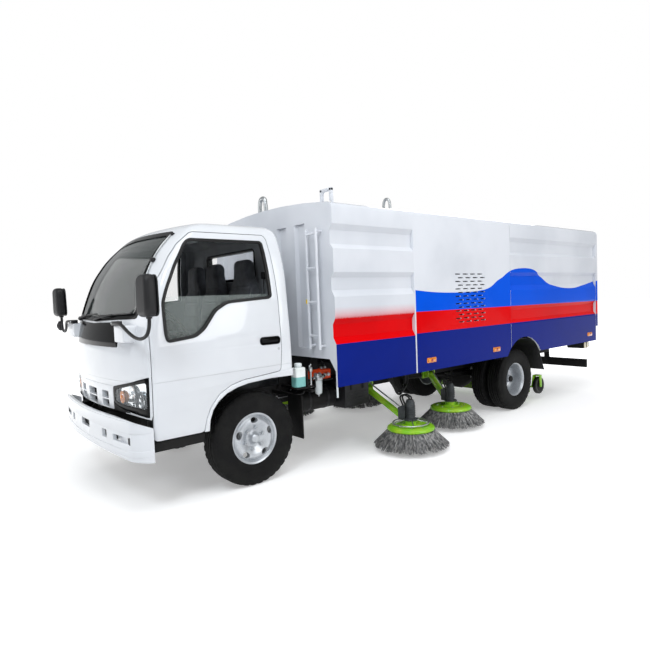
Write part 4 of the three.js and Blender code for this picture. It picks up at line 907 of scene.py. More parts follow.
# Rubber seal and black edge round each pane.
seal = cab_layer(-3, 24, both(prism(inset(side_window, -3), "x", *ONE_SIDE)),
                 both(prism(inset(side_window, 20), "x", *ONE_SIDE)))
for side, sign in SIDES:
    half = bpy.data.objects.new("seal_" + side, seal.data.copy())
    scene.collection.objects.link(half)
    carve(half, Solid().take(box(0, 1100, -1200, 500, 500, 2400)).flipped(sign), "INTERSECT")
    complete(half, f"door_window_seal_{side}", f"door_{side}_body", seal_rubber, slot="plastic_black",
             bevel=2)
bpy.data.objects.remove(seal)
frit = cab_layer(-2, 7, span(inset(windscreen_line, -4), "y", *SCREEN_CUT),
                 span(rounded(inset(WINDSCREEN, 34), 60), "y", *SCREEN_CUT))
complete(frit, "windscreen_edge", "cab", gloss_black, bevel=1.5, slot="plastic_black")
# The pane's dark green is painted reflection and shade over the glass's own faint green tint.
pane = cab_layer(8, 14, span(inset(windscreen_line, 0.5), "y", *SCREEN_CUT))
complete(pane, "windscreen_pane", "cab", screen_glass_painted_reflection, stands_for=("windscreen",),
         slot=slot_of["windscreen"])
rear_seal = loose(span(inset(rear_line, -3), "y", CAB_BACK - 50, CAB_BACK + 4), "rear_seal")
carve(rear_seal, span(inset(rear_line, 22), "y", CAB_BACK - 70, CAB_BACK + 50))
complete(rear_seal, "rear_window_seal", "cab", seal_rubber, bevel=3, slot="plastic_black")
polished("rear_window", clear_glass)


def door_face(centre, normal):
    """1 for the trim card inside a door, 0 for its painted sheet."""
    return 1 if centre.x * normal.x < 0 and abs(normal.x) > 0.5 else 0


# A door's handle lies in a black cup, with the lock's barrel under its rear end.
CUP = slab(30, 226, 1152, 1218, 32, 6)
HANDLE_BAR = rounded([(44, 1170), (200, 1170), (206, 1200), (44, 1200)], 12, 5)
LOCK_BARREL = [(900, 0), (900, 11), (927, 11), (929, 8), (929, 0)]
handle = Solid()
handle.take(prism(CUP, "x", 896, 902))
handle.take(prism(HANDLE_BAR, "x", 918, 932))
handle.take(turned(LOCK_BARREL, "x", (0, 206, 1112), 24), 1)
cup_rim = loose(span(CUP, "x", 905, 928), "cup_rim")
carve(cup_rim, span(slab(40, 216, 1162, 1208, 24, 6), "x", 880, 960))
handle.join(solid_of(cup_rim))
pair("door_handle_{}", "door_{}_body", handle, [gloss_black, zinc_steel], bevel=2, slot="plastic_black")
for side, sign in SIDES:
    door = cab_layer(0, CAB_WALL, Solid().take(prism(door_line, "x", *ONE_SIDE)).flipped(sign),
                     span(side_window, "x", *THROUGH),
                     span(slab(36, 220, 1158, 1212, 26, 6), "x", 880, 1000).flipped(sign))
    complete(door, f"door_pressing_{side}", f"door_{side}_body", [cab_paint, cab_trim],
             choose=door_face, bevel=2.2, angle=28, stands_for=("door_" + side,),
             slot=slot_of["door_" + side])
    polished(f"door_glass_{side}", clear_glass)

# A dark rubber strip closes the gap round each door from inside.
gasket = cab_layer(16, 30, both(prism(inset(door_line, -18), "x", *ONE_SIDE)),
                   both(prism(inset(door_line, -0.5), "x", *ONE_SIDE)))
complete(gasket, "door_gasket", "cab", seal_rubber, slot="plastic_black")

# Front panel: black garnish, grille and lamps.
garnish = cab_layer(-4, 12, span(rounded(GARNISH, 14), "y", -1200, -700))
complete(garnish, "front_garnish", "cab", gloss_black, bevel=2.5, slot="plastic_black")

SLOT_COLUMNS = ((-288, 63), (0, 105), (288, 63))
SLOT_ROWS = ((809, 866), (743, 801))
slots = Solid()
for x, half in SLOT_COLUMNS:
    for low, high in SLOT_ROWS:
        slots.take(prism(slab(x - half, x + half, low, high, 8), "y", NOSE, -850))
grille = cab_layer(0, CAB_WALL, span(rounded(inset(GRILLE, 1.5), 8), "y", *GRILLE_CUT), slots)
complete(grille, "grille_pressing", "cab", cab_paint, bevel=4, segments=3,
         stands_for=("grille_panel",), slot=slot_of["grille_panel"])
core = Solid()
core.take(box(-425, 425, -948, -940, 738, 905))
for k in range(5):
    core.take(box(-420, 420, -962, -948, 752 + 34 * k, 760 + 34 * k))
piece("grille_backing", "cab", core, grained_black, slot="plastic_black", bevel=1)


def front_depth(x):
    """The station of the cab's front at the lamps' height."""
    return -1010 + FRONT_BOW * (x / 928) ** 2


def bowl(x, z, r, deep):
    """A reflector bowl with a 3 mm wall that opens forwards."""
    y = front_depth(x) + 14
    profile = [(y, r), (y + deep * 0.5, r * 0.82), (y + deep * 0.85, r * 0.5), (y + deep, 0),
               (y + deep + 3, 0), (y + deep * 0.85 + 3, r * 0.52), (y + deep * 0.5 + 3, r * 0.85),
               (y + 3, r + 2)]
    return turned(profile, "y", (x, 0, z), 32)


def bulb(x, z, nose, tail, length):
    """A bulb that stands in its bowl, nose and tail being its end radii."""
    y = front_depth(x)
    profile = [(y + length[0], 0), (y + length[1], nose), (y + length[2], tail), (y + length[3], 0)]
    return turned(profile, "y", (x, 0, z), 20)


# Each bowl's x, height, radius and depth. The first is the amber indicator's.
BOWLS = ((548, 838, 46, 14), (690, 880, 56, 14), (700, 800, 44, 12), (800, 838, 60, 12))
LAMP_WINDOW = rounded([(464, 800), (472, 890), (690, 934), (888, 970), (880, 778), (610, 786)], 24)
DIVIDER = [(650, 838), (900, 868), (900, 838), (650, 812)]
lamp_bowls = Solid()
for k, spec in enumerate(BOWLS):
    lamp_bowls.take(bowl(*spec), 1 if k == 0 else 0)
lamp_bowls.take(bulb(548, 838, 14, 16, (2, 4, 20, 24)), 1)
for x, z in ((690, 880), (800, 838), (700, 800)):
    lamp_bowls.take(bulb(x, z, 12, 13, (4, 6, 24, 26)))
pair("lamp_reflectors_{}", "cab", lamp_bowls, [reflector, amber_lens], slot=slot_of["headlamp_left"])
for side, sign in SIDES:
    name = "headlamp_" + side

    def region(outline, low, high):
        return Solid().take(prism(outline, "y", low, high)).flipped(sign)

    edge = region(inset(lamp_line, 1), NOSE, -862)
    window = region(LAMP_WINDOW, *LAMP_CUT)
    complete(cab_layer(30, 46, edge), f"lamp_housing_{side}", "cab", gloss_black,
             slot="plastic_black")
    complete(cab_layer(1, 31, edge, window), f"lamp_bezel_{side}", "cab", gloss_black, bevel=2,
             slot="plastic_black")
    complete(cab_layer(26, 30, window), f"lamp_reflector_field_{side}", "cab", reflector,
             slot=slot_of[name])
    complete(cab_layer(7, 20, region(DIVIDER, *LAMP_CUT)), f"lamp_divider_{side}", "cab", gloss_black,
             slot="plastic_black")
    complete(cab_layer(2, 5, window), f"lamp_lens_{side}", "cab", lamp_lens, stands_for=(name,),
             slot=slot_of[name])


# ---- bumper ----------------------------------------------------------------------------
BUMPER_FRONT = -1080
BUMPER_HALF = 930
BUMPER_REAR = -874
BUMPER_SHEET = 25


def bumper_line(half, front):
    """The plan of one face of the bumper, from the right end round to the left end."""
    straight = half - 110
    line = [(x, front + 64 * (x / 800) ** 2) for x in (straight * i / 16 for i in range(17))]
    x0, y0 = line[-1]
    for i in range(1, 9):
        a = math.radians(90 * i / 8)
        line.append((x0 + (half - x0) * math.sin(a), y0 + 18 * math.sin(a) + 104 * (1 - math.cos(a))))
    line.append((half, BUMPER_REAR))
    return [(-x, y) for x, y in line[:0:-1]] + line


def bumper_band(proud, depth, low, high):
    """A wall along the bumper, its outer face proud of the bumper's by some mm."""
    outer = bumper_line(BUMPER_HALF + proud[0], BUMPER_FRONT - proud[1])
    inner = bumper_line(BUMPER_HALF - depth[0], BUMPER_FRONT + depth[1])
    return loose(span(outer + inner[::-1], "z", low, high), "bumper")


BUMPER_SIDE = [(-1100, 455), (-1100, 716), (-1020, 716), (BUMPER_REAR, 652), (BUMPER_REAR, 407),
               (-1020, 430)]
# Each opening's x, half width, height of its middle and half height.
BUMPER_OPENINGS = ((0, 105, 592, 30), (429, 43, 571, 30), (705, 124, 567, 23))
bumper = bumper_band((0, 0), (BUMPER_SHEET, BUMPER_SHEET), 400, 740)
carve(bumper, span(BUMPER_SIDE, "x", *THROUGH), "INTERSECT")
openings = Solid()
for x, half, z, high in BUMPER_OPENINGS:
    for centre in sorted({x, -x}):
        hole = slab(centre - half, centre + half, z - high, z + high, 9)
        openings.take(prism(hole, "y", NOSE, -890))
carve(bumper, openings)
complete(bumper, "bumper_pressing", "chassis", cab_paint, bevel=9, segments=3, angle=35,
         stands_for=("front_bumper",), slot=slot_of["front_bumper"])
# What shows through the openings: dark backs, the fog lamp's white surround and its lens.
behind = Solid()
for x0, x1, z0, z1 in ((380, 480, 536, 606), (800, 836, 540, 594)):
    behind.take(box(x0, x1, -1012, -1000, z0, z1))
behind.take(box(576, 800, -1008, -996, 540, 594), 1)
fog_lens = [(-1020, 0), (-1022, 22), (-1008, 26), (-1000, 26), (-1000, 0)]
behind.take(turned(fog_lens, "y", (640, 0, 567), 24), 2)
behind = behind.mirror()
behind.take(box(-110, 110, -1048, -1040, 560, 624))
behind.take(box(-300, 300, -1040, -900, 470, 600))
piece("bumper_backing", "chassis", behind, [grained_black, cab_paint, lamp_lens], bevel=2,
      slot="plastic_black")
complete(bumper_band((1, 3), (6, 10), 455, 500), "bumper_lower_lip", "chassis", cab_paint, bevel=4,
         segments=3, slot="white_paint")
CREASE_SIDE = [(-1100, 600), (-1100, 710), (-1010, 704), (BUMPER_REAR - 6, 640), (BUMPER_REAR - 6, 600)]
crease = bumper_band((2, 5), (6, 10), 622, 704)
carve(crease, span(CREASE_SIDE, "x", *THROUGH), "INTERSECT")
complete(crease, "bumper_upper_face", "chassis", cab_paint, bevel=8, segments=3, slot="white_paint")


# ---- body ------------------------------------------------------------------------------
TANK_ROOF = 2425


def tank_top(centre, normal):
    """1 for the zinc fittings above the tank's roof, 0 for its painted sheet."""
    return 1 if centre.z > TANK_ROOF and centre.x < -100 else 0


polished("water_tank", [coach_paint, zinc_steel], angle=24, choose=tank_top)
for name in ("engine_bay", "hopper", "rear_door"):
    polished(name, coach_paint, angle=24)

# Side markers: an amber rim and lens with a red middle.
MARKER_Z = 838
MARKER_RIDES = {"chassis": (1989, 3169), "hopper_body": (5574,)}
for body, stations in MARKER_RIDES.items():
    marks = Solid()
    for y in stations:
        rim = slab(y - 72, y + 72, MARKER_Z - 26, MARKER_Z + 26, 8, 3)
        marks.take(prism(rim, "x", 1058, 1065), 1)
        face = slab(y - 60, y + 60, MARKER_Z - 18, MARKER_Z + 18, 8, 3)
        marks.take(prism(face, "x", 1064, 1071))
        marks.take(box(1070, 1073, y - 14, y + 14, MARKER_Z - 14, MARKER_Z + 14), 2)
    piece("side_markers_" + body, body, marks.mirror(), [amber_lens, amber_lens, red_lens],
          bevel=1.5, slot="white_paint")
drain = both(tube([(1046, 722, 640), (1046, 722, 742)], 9, 14))
piece("skirt_drain_tubes", "chassis", drain, milk_plastic, slot="white_paint")

# A black filter mat behind the louvres.
mat = both(box(1026, 1032, 2380, 3060, 1160, 1750))
piece("louvre_filter_mat", "chassis", mat, seal_rubber, slot="soft_rubber")

# A square hand hold and the vent's zinc sleeve on the tank, and lifting eyes on the bay.
HOLD_Y = 757
hold = Solid()
for x in (892, 1018):
    hold.take(box(x - 13, x + 13, HOLD_Y - 13, HOLD_Y + 13, 2350, 2462))
hold.take(box(879, 1031, HOLD_Y - 13, HOLD_Y + 13, 2440, 2466))
VENT_BEND = [(-240, 2400), (-240, 2500), (-224, 2562), (-182, 2580), (-142, 2558), (-130, 2480),
             (-130, 2400)]
hold.take(tube(bend([(x, 837, z) for x, z in VENT_BEND], 4), 23, 16), 1)
piece("tank_hand_hold", "chassis", hold, [coach_paint, zinc_steel], bevel=2, slot="white_paint")
tag = Solid().take(box(752, 768, 639, 647, 1468, 1506))
piece("ladder_tag", "chassis", tag, yellow_tag, bevel=1, slot="white_paint")
EYE_BEND = [(560, 2380), (560, 2470), (575, 2520), (605, 2534), (635, 2520), (650, 2470), (650, 2380)]
eyes = both(tube(bend([(x, 1880, z) for x, z in EYE_BEND], 4), 15, 12))
piece("lifting_eyes", "chassis", eyes, zinc_steel, slot="machine_grey")


# ---- wheels --------------------------------------------------------------------------------
# Profiles of [place across the wheel, radius], counted from the wheel's middle.
TYRE_SIDE = [(73, 206), (84, 214), (88, 226), (94, 250), (99, 285), (100, 318), (96, 345), (92, 352),
             (90, 362), (84, 376), (76, 384), (60, 386)]
TREAD_RADIUS = 387.3
GROOVES = (46, 16, -16, -46)
NOTCH = 7


def tyre(x, y):
    """A ribbed road tyre: its shoulders are notched at every fourth step."""
    crown = []
    for groove in GROOVES:
        crown += [(groove + 5, TREAD_RADIUS), (groove + 3.4, 377), (groove - 3.4, 377),
                  (groove - 5, TREAD_RADIUS)]
    profile = TYRE_SIDE + crown + [(-a, r) for a, r in TYRE_SIDE[::-1]]
    last = len(profile) - 1

    def notch(j, k, r):
        return r - NOTCH if min(j, last - j) in range(8, 12) and k % 4 == 0 else r

    return turned(profile, "x", (x, y, HUB_Z), 144, notch)


def hand_holes(count, radius, phase, wide, high, x0, x1, y):
    """Oval holes on a ring through a wheel's disc."""
    made = Solid()
    for cy, cz, angle in ring_spots(count, radius, y, HUB_Z, phase):
        outline = []
        for u, v, _ in ring_spots(20, 1, 0, 0):
            out, along = wide * u, high * v
            outline.append((cy - out * math.sin(angle) + along * math.cos(angle),
                            cz + out * math.cos(angle) + along * math.sin(angle)))
        made.take(prism(outline, "x", x0, x1))
    return made


def nuts(x, y, radius, count, out, size=15, phase=0.3):
    """Wheel nuts on their seats: six sided, domed, on a ring round the hub."""
    top = x + out
    nut = [(x - 2, 0), (x - 2, size), (top, size * 0.94), (top + 4, size * 0.6), (top + 4, 0)]
    made = Solid()
    for cy, cz, _ in ring_spots(count, radius, y, HUB_Z, phase):
        at = (0, cy, cz)
        made.take(stud("x", at, x - 6, x, size + 6, 20, far=size + 4))
        made.take(turned(nut, "x", at, 6))
        made.take(stud("x", at, top, top + 12, 6, 10, far=5.4), 1)
    return made


FRONT_X = 752
REAR_X = 712.5
TWIN = 117.5
RIM_EDGE = TWIN + 83.3
FRONT_DISC = [(83, 222), (84, 228), (78, 230), (75.3, 222), (75.3, 204.7), (60, 196), (20, 190), (-40, 192),
              (-75.3, 204.7), (-75.3, 222), (-83, 222), (-83, 200), (-40, 180), (28, 182), (34, 170),
              (36, 150), (30, 92), (-62, 84), (-62, 39), (28, 39), (28, 0), (72, 0), (76, 8), (77, 30),
              (72, 40), (56, 46), (50, 56), (50, 72), (58, 90), (76, 128), (80, 146), (78, 158),
              (66, 172), (54, 184), (60, 190), (74, 196)]
REAR_DISCS = [(RIM_EDGE, 222), (RIM_EDGE + 1, 229), (RIM_EDGE - 5, 230), (RIM_EDGE - 8, 222),
              (RIM_EDGE - 8, 206), (TWIN + 40, 198), (TWIN - 20, 192), (TWIN - 75, 205), (TWIN - 75, 222),
              (TWIN - 83, 222), (TWIN - 83, 195), (-TWIN + 83, 195), (-TWIN + 83, 222),
              (-TWIN + 75, 222), (-TWIN + 75, 205), (-TWIN - 40, 192), (-RIM_EDGE + 8, 205),
              (-RIM_EDGE + 8, 222), (-RIM_EDGE, 222), (-RIM_EDGE, 196), (-58, 186), (-10, 160), (-10, 96),
              (-140, 96), (-140, 39), (48, 39), (48, 0), (120, 0), (124, 30), (118, 46), (62, 52),
              (56, 60), (52, 84), (16, 92), (10, 104), (10, 150), (24, 166), (58, 182),
              (TWIN - 30, 186), (TWIN + 20, 180), (TWIN + 60, 190), (RIM_EDGE - 14, 196)]
HUB_CAP = [(66, 0), (66, 40), (84, 38), (94, 30), (98, 18), (99, 0)]


def wheel_disc(profile, x, y, holes):
    """A pressed wheel turned from its profile, less its hand holes."""
    made = loose(Solid().take(turned(profile, "x", (x, y, HUB_Z), 96)), "disc")
    return carve(made, holes)


front_holes = hand_holes(5, 150, math.pi / 2, 34, 23, FRONT_X - 20, FRONT_X + 120, 0)
rear_holes = hand_holes(6, 128, 0.3, 22, 15, REAR_X - 40, REAR_X + 45, WHEELBASE)
for side, sign in SIDES:
    rim = across(wheel_disc(FRONT_DISC, FRONT_X, 0, front_holes), sign)
    complete(rim, "front_rim_pressing_" + side, "front_wheel_" + side, wheel_silver, bevel=1.2,
             angle=40, stands_for=("front_rim_" + side,), slot="silver_paint")
    rims = across(wheel_disc(REAR_DISCS, REAR_X, WHEELBASE, rear_holes), sign)
    complete(rims, "rear_rims_pressing_" + side, "rear_wheels_" + side, wheel_silver, bevel=1.2,
             angle=40, stands_for=("rear_rims_" + side,), slot="silver_paint")
hub = nuts(FRONT_X + 56, 0, 86, 6, 20)
hub.take(turned(HUB_CAP, "x", (FRONT_X, 0, HUB_Z), 32))
pair("front_hub_fittings_{}", "front_wheel_{}", hub, [wheel_silver, zinc_steel], bevel=1,
     slot="silver_paint")
pair("rear_hub_fittings_{}", "rear_wheels_{}", nuts(REAR_X + 16, WHEELBASE, 111, 6, 22, phase=0.82),
     [wheel_silver, zinc_steel], slot="silver_paint")
TYRES = (("front_tyre_ribbed_{}", "front_tyre_{}", "front_wheel_{}", FRONT_X, 0),
         ("rear_tyre_ribbed_outer_{}", "rear_tyre_outer_{}", "rear_wheels_{}", REAR_X + TWIN, WHEELBASE),
         ("rear_tyre_ribbed_inner_{}", "rear_tyre_inner_{}", "rear_wheels_{}", REAR_X - TWIN, WHEELBASE))
for name, node, body, x, y in TYRES:
    pair(name, body, Solid().take(tyre(x, y)), tyre_rubber, angle=30, stands_for=(node,),
         slot="tyre_rubber")


# ---- brushes -----------------------------------------------------------------------------
BRISTLE_RADII = [2.9, 2.8, 2.6, 2.3, 1.7]
# The least and the most that a tuft turns and tilts, in radians.
TUFT_TURN = (-0.07, 0.07)
TUFT_TILT = (-0.07, 0.05)


def tuft(seed, length_out, drop, spread, strands):
    """A bundle of bristles that leans outwards and down from its root at the origin."""
    draw = random.Random(seed)
    made = Solid()
    for _ in range(strands):
        root = Vector((draw.uniform(-6, 6), draw.uniform(-13, 13), draw.uniform(-6, 3)))
        out = length_out * draw.uniform(0.86, 1.03)
        fall = drop * draw.uniform(0.93, 1.0)
        aside = draw.gauss(0, spread)
        path = []
        for t in (i / 4 for i in range(5)):
            way = (out * (t * 0.8 + 0.2 * t * t), aside * t ** 1.3, -fall * (0.72 * t + 0.28 * t * t))
            path.append(root + Vector(way))
        made.take(tube(path, BRISTLE_RADII, 3))
    mesh = bpy.data.meshes.new("tuft")
    mesh.from_pydata([Vector(p) / 1000 for p in made.points], [], made.faces)
    obj = bpy.data.objects.new("tuft", mesh)
    scene.collection.objects.link(obj)
    return obj


def random_turn(group, index, least, most, seed):
    """A random angle for each tuft."""
    settings = {"data_type": "FLOAT", 2: least, 3: most, "Seed": seed}
    return add(group, "FunctionNodeRandomValue", settings, {"ID": index}).outputs[1]


def bristle_ring(name, x, y, rows, bristle):
    """Rings of tufts round a brush plate by Geometry Nodes. Each row gives the ring's
    radius, its number of tufts, its height, its turn and the tuft."""
    holder = bpy.data.objects.new(name, bpy.data.meshes.new(name))
    scene.collection.objects.link(holder)
    group = bpy.data.node_groups.new(name + "_tree", "GeometryNodeTree")
    face = group.interface
    face.new_socket("Geometry", in_out="INPUT", socket_type="NodeSocketGeometry")
    face.new_socket("Geometry", in_out="OUTPUT", socket_type="NodeSocketGeometry")
    sizes = {}
    for row, (radius, count, level, phase, _) in enumerate(rows):
        for label, kind, value in (("Ring radius", "NodeSocketFloat", radius / 1000),
                                   ("Tuft count", "NodeSocketInt", count),
                                   ("Ring height", "NodeSocketFloat", level / 1000),
                                   ("Ring turn", "NodeSocketFloat", phase)):
            socket = face.new_socket(f"{label} {row}", in_out="INPUT", socket_type=kind)
            sizes[socket.identifier] = value
    inlet = add(group, "NodeGroupInput").outputs
    joined = add(group, "GeometryNodeJoinGeometry")
    for row, (*_, bundle) in enumerate(rows):
        count = inlet[f"Tuft count {row}"]
        ring = add(group, "GeometryNodeMeshCircle", links={
            "Vertices": count, "Radius": inlet[f"Ring radius {row}"]})
        index = add(group, "GeometryNodeInputIndex").outputs[0]
        heading = maths(group, "MULTIPLY", maths(group, "DIVIDE", index, count), TURN)
        heading = maths(group, "ADD", heading, random_turn(group, index, *TUFT_TURN, row + 5))
        tilt = random_turn(group, index, *TUFT_TILT, row + 15)
        turn = add(group, "ShaderNodeCombineXYZ", links={1: tilt, 2: heading})
        source = add(group, "GeometryNodeObjectInfo", {0: bundle})
        spread = add(group, "GeometryNodeInstanceOnPoints", links={
            "Points": ring.outputs[0], "Instance": source.outputs["Geometry"], "Rotation": turn.outputs[0]})
        lift = add(group, "ShaderNodeCombineXYZ", links={2: inlet[f"Ring height {row}"]})
        spin = add(group, "ShaderNodeCombineXYZ", links={2: inlet[f"Ring turn {row}"]})
        moved = add(group, "GeometryNodeTransform", links={
            "Geometry": spread.outputs[0], "Translation": lift.outputs[0], "Rotation": spin.outputs[0]})
        group.links.new(moved.outputs[0], joined.inputs[0])
    real = add(group, "GeometryNodeRealizeInstances", links={0: joined.outputs[0]})
    painted = add(group, "GeometryNodeSetMaterial", {"Material": bristle}, {0: real.outputs[0]})
    add(group, "NodeGroupOutput", links={0: painted.outputs[0]})
    step = holder.modifiers.new("tufts", "NODES")
    step.node_group = group
    for identifier, value in sizes.items():
        step[identifier] = value
    bpy.context.view_layer.update()
    settle(holder)
    holder.data.transform(Matrix.Translation(place(x, y, 0)))
    return holder


long_tuft = tuft(3, 158, 164, 11, 26)
mid_tuft = tuft(5, 124, 166, 11, 22)
short_tuft = tuft(8, 78, 166, 10, 18)
TUFT_ROWS = [(204, 44, 207, 0.0, long_tuft), (184, 40, 205, 0.07, mid_tuft),
             (150, 26, 205, 0.0, short_tuft)]
# Each brush's x, station and the heading of its arm in degrees.
BRUSHES = (("front", 1070, 1630, 9.5), ("rear", 800, 2620, -15))
# Profiles of [height, radius].
PLATE = [(206, 0), (206, 205), (196, 226), (206, 234), (226, 226), (238, 205), (240, 160),
         (236, 96), (246, 84), (247.7, 40), (247.7, 0)]
MOTOR_CAP = [(440, 0), (440, 30), (474, 30), (486, 22), (490, 0)]
MOTOR_FOOT = [(284, 0), (284, 68), (294, 70), (300, 66), (304, 0)]
MOTOR_RADIUS = 60.5
HOOP_RADIUS = 176
HOOP_Z = 262


def brush_plate(x, y):
    """The lime plate with its bolts and the sockets that the tufts stand in."""
    made = Solid().take(turned(PLATE, "z", (x, y, 0), 64))
    for cx, cy, _ in ring_spots(8, 150, x, y):
        made.take(stud("z", (cx, cy, 0), 236, 246, 9, 6), 1)
    for cx, cy, _ in ring_spots(36, 206, x, y, TURN / 72):
        made.take(stud("z", (cx, cy, 0), 186, 200, 11, 10, far=13), 2)
    return made


def brush_motor(x, y, swing):
    """The motor's fins, cap and foot, with its two hoses, which leave along the arm."""
    made = Solid()
    for low in range(330, 440, 22):
        fin = [(low, 40), (low, 52), (low + 8, 52), (low + 8, 40)]
        made.take(turned(fin, "z", (x, y, 0), 28))
    made.take(turned(MOTOR_CAP, "z", (x, y, 0), 20))
    made.take(turned(MOTOR_FOOT, "z", (x, y, 0), 24))
    a = math.radians(swing)
    inboard = Vector((-math.cos(a), -math.sin(a), 0))
    for off in (-16, 16):
        start = Vector((x, y + off, 470))
        route = [start + inboard * along + Vector((0, 0, rise))
                 for along, rise in ((0, 0), (0, 40), (60, 60), (100, 28), (62, -60))]
        made.take(tube(bend(route, 5), 9, 10), 1)
    return made


def spray_hoop(x, y):
    """The spray tube round the brush plate on its four stays."""
    ring = [(cx, cy, HOOP_Z + 4 * math.sin(a)) for cx, cy, a in ring_spots(40, HOOP_RADIUS, x, y)]
    made = Solid().take(tube(ring, 7, 10, closed=True))
    for a in (0.6, 2.4, 4.2, 5.6):
        ends = [(x + r * math.cos(a), y + r * math.sin(a), z) for r, z in ((HOOP_RADIUS, HOOP_Z), (60, 290))]
        made.take(tube(ends, 5, 8))
    return made


for end, cx, cy, swing in BRUSHES:
    axis = Vector((cx, cy))

    def head_face(centre, normal):
        """1 for the motor's drum, 0 for the lime cheeks."""
        flat = Vector((abs(centre.x), centre.y))
        return 1 if (flat - axis).length < MOTOR_RADIUS and centre.z > 288 else 0

    disc_body = f"brush_disc_{end}_{{}}_body"
    head_body = f"brush_head_{end}_{{}}_body"
    pair(f"brush_plate_{end}_{{}}", disc_body, brush_plate(cx, cy), [lime_enamel, zinc_steel, seal_rubber],
         bevel=1.5, slot="lime_paint")
    pair(f"brush_motor_{end}_{{}}", head_body, brush_motor(cx, cy, swing), [machine_grey, seal_rubber],
         bevel=1, slot="machine_grey")
    if end == "front":
        pair("spray_hoop_{}", head_body, spray_hoop(cx, cy), zinc_steel, slot="machine_grey")
    for side, sign in SIDES:
        key = f"{end}_{side}"
        bristles = bristle_ring("bristles_" + key, cx * sign, cy, TUFT_ROWS, bristle_grey)
        complete(bristles, "bristles_" + key, disc_body.format(side), bristle_grey, angle=80,
                 slot="lime_paint", stands_for=("brush_disc_" + key,))
        polished("brush_head_" + key, [lime_enamel, machine_grey], choose=head_face, angle=40)
        polished("brush_arm_" + key, lime_enamel, bevel=2, angle=40)
        polished("brush_link_" + key, zinc_steel, angle=40)
for each in (long_tuft, mid_tuft, short_tuft):
    bpy.data.objects.remove(each)

# ---- nozzle --------------------------------------------------------------------------
polished("suction_nozzle", lime_enamel, bevel=2, angle=40)
CASTER = (803, 4570, 200)
CASTER_TYRE = [(-24, 78), (-24, 112), (-18, 117), (18, 117), (24, 112), (24, 78)]
CASTER_DISC = [(-20, 30), (-22, 79), (22, 79), (20, 30), (24, 24), (24, 12), (-24, 12), (-24, 24)]
caster = Solid()
caster.take(turned(CASTER_TYRE, "x", CASTER, 40))
caster.take(turned(CASTER_DISC, "x", CASTER, 40), 1)
pair("caster_tyre_{}", "nozzle_caster_{}", caster, [seal_rubber, chassis_black], bevel=1.5, angle=35,
     stands_for=("nozzle_wheel_{}",), slot="soft_rubber")


# ---- mirrors, wipers and aerial --------------------------------------------------------
def skin_y(x, z):
    """The station of the cab's front face at a height."""
    for low, high in zip(CAB_LEVELS[:-1], CAB_LEVELS[1:]):
        if low[0] <= z <= high[0]:
            t = (z - low[0]) / (high[0] - low[0])
            half, front = (a * (1 - t) + b * t for a, b in zip(low[1:3], high[1:3]))
            return front + FRONT_BOW * (x / half) ** 2
    return 0.0


# Silvered mirror glass: a clean, faintly blue reflection.
mirror_glass = finish("silvered_mirror_glass", "#c9d2d6", "#bcc7cc", 30, 500, (0.01, 0.03),
                      metallic=1.0)
HEAD_LINE = rounded([(1064, 1436), (1262, 1434), (1254, 1712), (1082, 1712)], 62, 8)
ARM_ROUTE = [(572, -996, 1388), (660, -1002, 1392), (760, -998, 1380), (850, -982, 1330),
             (940, -970, 1296), (1040, -962, 1290), (1120, -954, 1318), (1156, -949, 1376),
             (1162, -948, 1450)]
ARM_SOCKET = [(1424, 0), (1424, 19), (1444, 22), (1462, 22), (1462, 0)]
POD_LINE = rounded([(562, 1249), (762, 1249), (762, 1374), (562, 1378)], 16, 5)
# The round kerb mirror under the right arm.
KERB_SHELL = [(-985, 0), (-985, 14), (-968, 44), (-954, 49), (-947, 49), (-947, 0)]
KERB_FACE = [(-950, 0), (-950, 45), (-944, 44), (-941, 24), (-940, 0)]
KERB_CENTRE = (1206, 0, 1340)


def mirror_arm(kerb_mirror):
    """The bent arm with its foot and socket, and the kerb mirror where there is one."""
    made = Solid().take(tube(bend(ARM_ROUTE, 7), 12, 16))
    made.take(prism(slab(556, 640, 1374, 1404, 12, 5), "y", -1006, -950))
    made.take(turned(ARM_SOCKET, "z", (1162, -948, 0), 24))
    for x in (574, 622):
        made.take(stud("y", (x, 0, 1389), -1011, -1004, 7, 6, far=8), 1)
    if kerb_mirror:
        made.take(turned(KERB_SHELL, "y", KERB_CENTRE, 36))
        made.take(turned(KERB_FACE, "y", KERB_CENTRE, 36), 2)
        made.take(tube([(1150, -950, 1360), (1180, -955, 1350), (1206, -960, 1342)], 8, 10))
    return made


mirror_slot = slot_of["mirror_left"]
pair("mirror_housing_{}", "cab", span(HEAD_LINE, "y", -1004, -918), grained_black, bevel=34, segments=8,
     angle=50, slot=mirror_slot, stands_for=("mirror_{}",))
pair("mirror_face_{}", "cab", span(inset(HEAD_LINE, 12.5), "y", -920, -916), mirror_glass, bevel=1,
     slot=mirror_slot)
pair("mirror_pod_{}", "cab", span(POD_LINE, "y", -990, -880), cab_paint, bevel=13, segments=5, angle=50,
     slot="white_paint")
for side, sign in SIDES:
    rim = loose(span(inset(HEAD_LINE, 3), "y", -922, -913), "rim")
    carve(rim, span(inset(HEAD_LINE, 12), "y", -930, -900))
    complete(across(rim, sign), "mirror_rim_" + side, "cab", grained_black, bevel=1.5, slot=mirror_slot)
    piece("mirror_arm_" + side, "cab", mirror_arm(side == "right").flipped(sign),
          [grained_black, zinc_steel, mirror_glass], bevel=2, slot=mirror_slot)

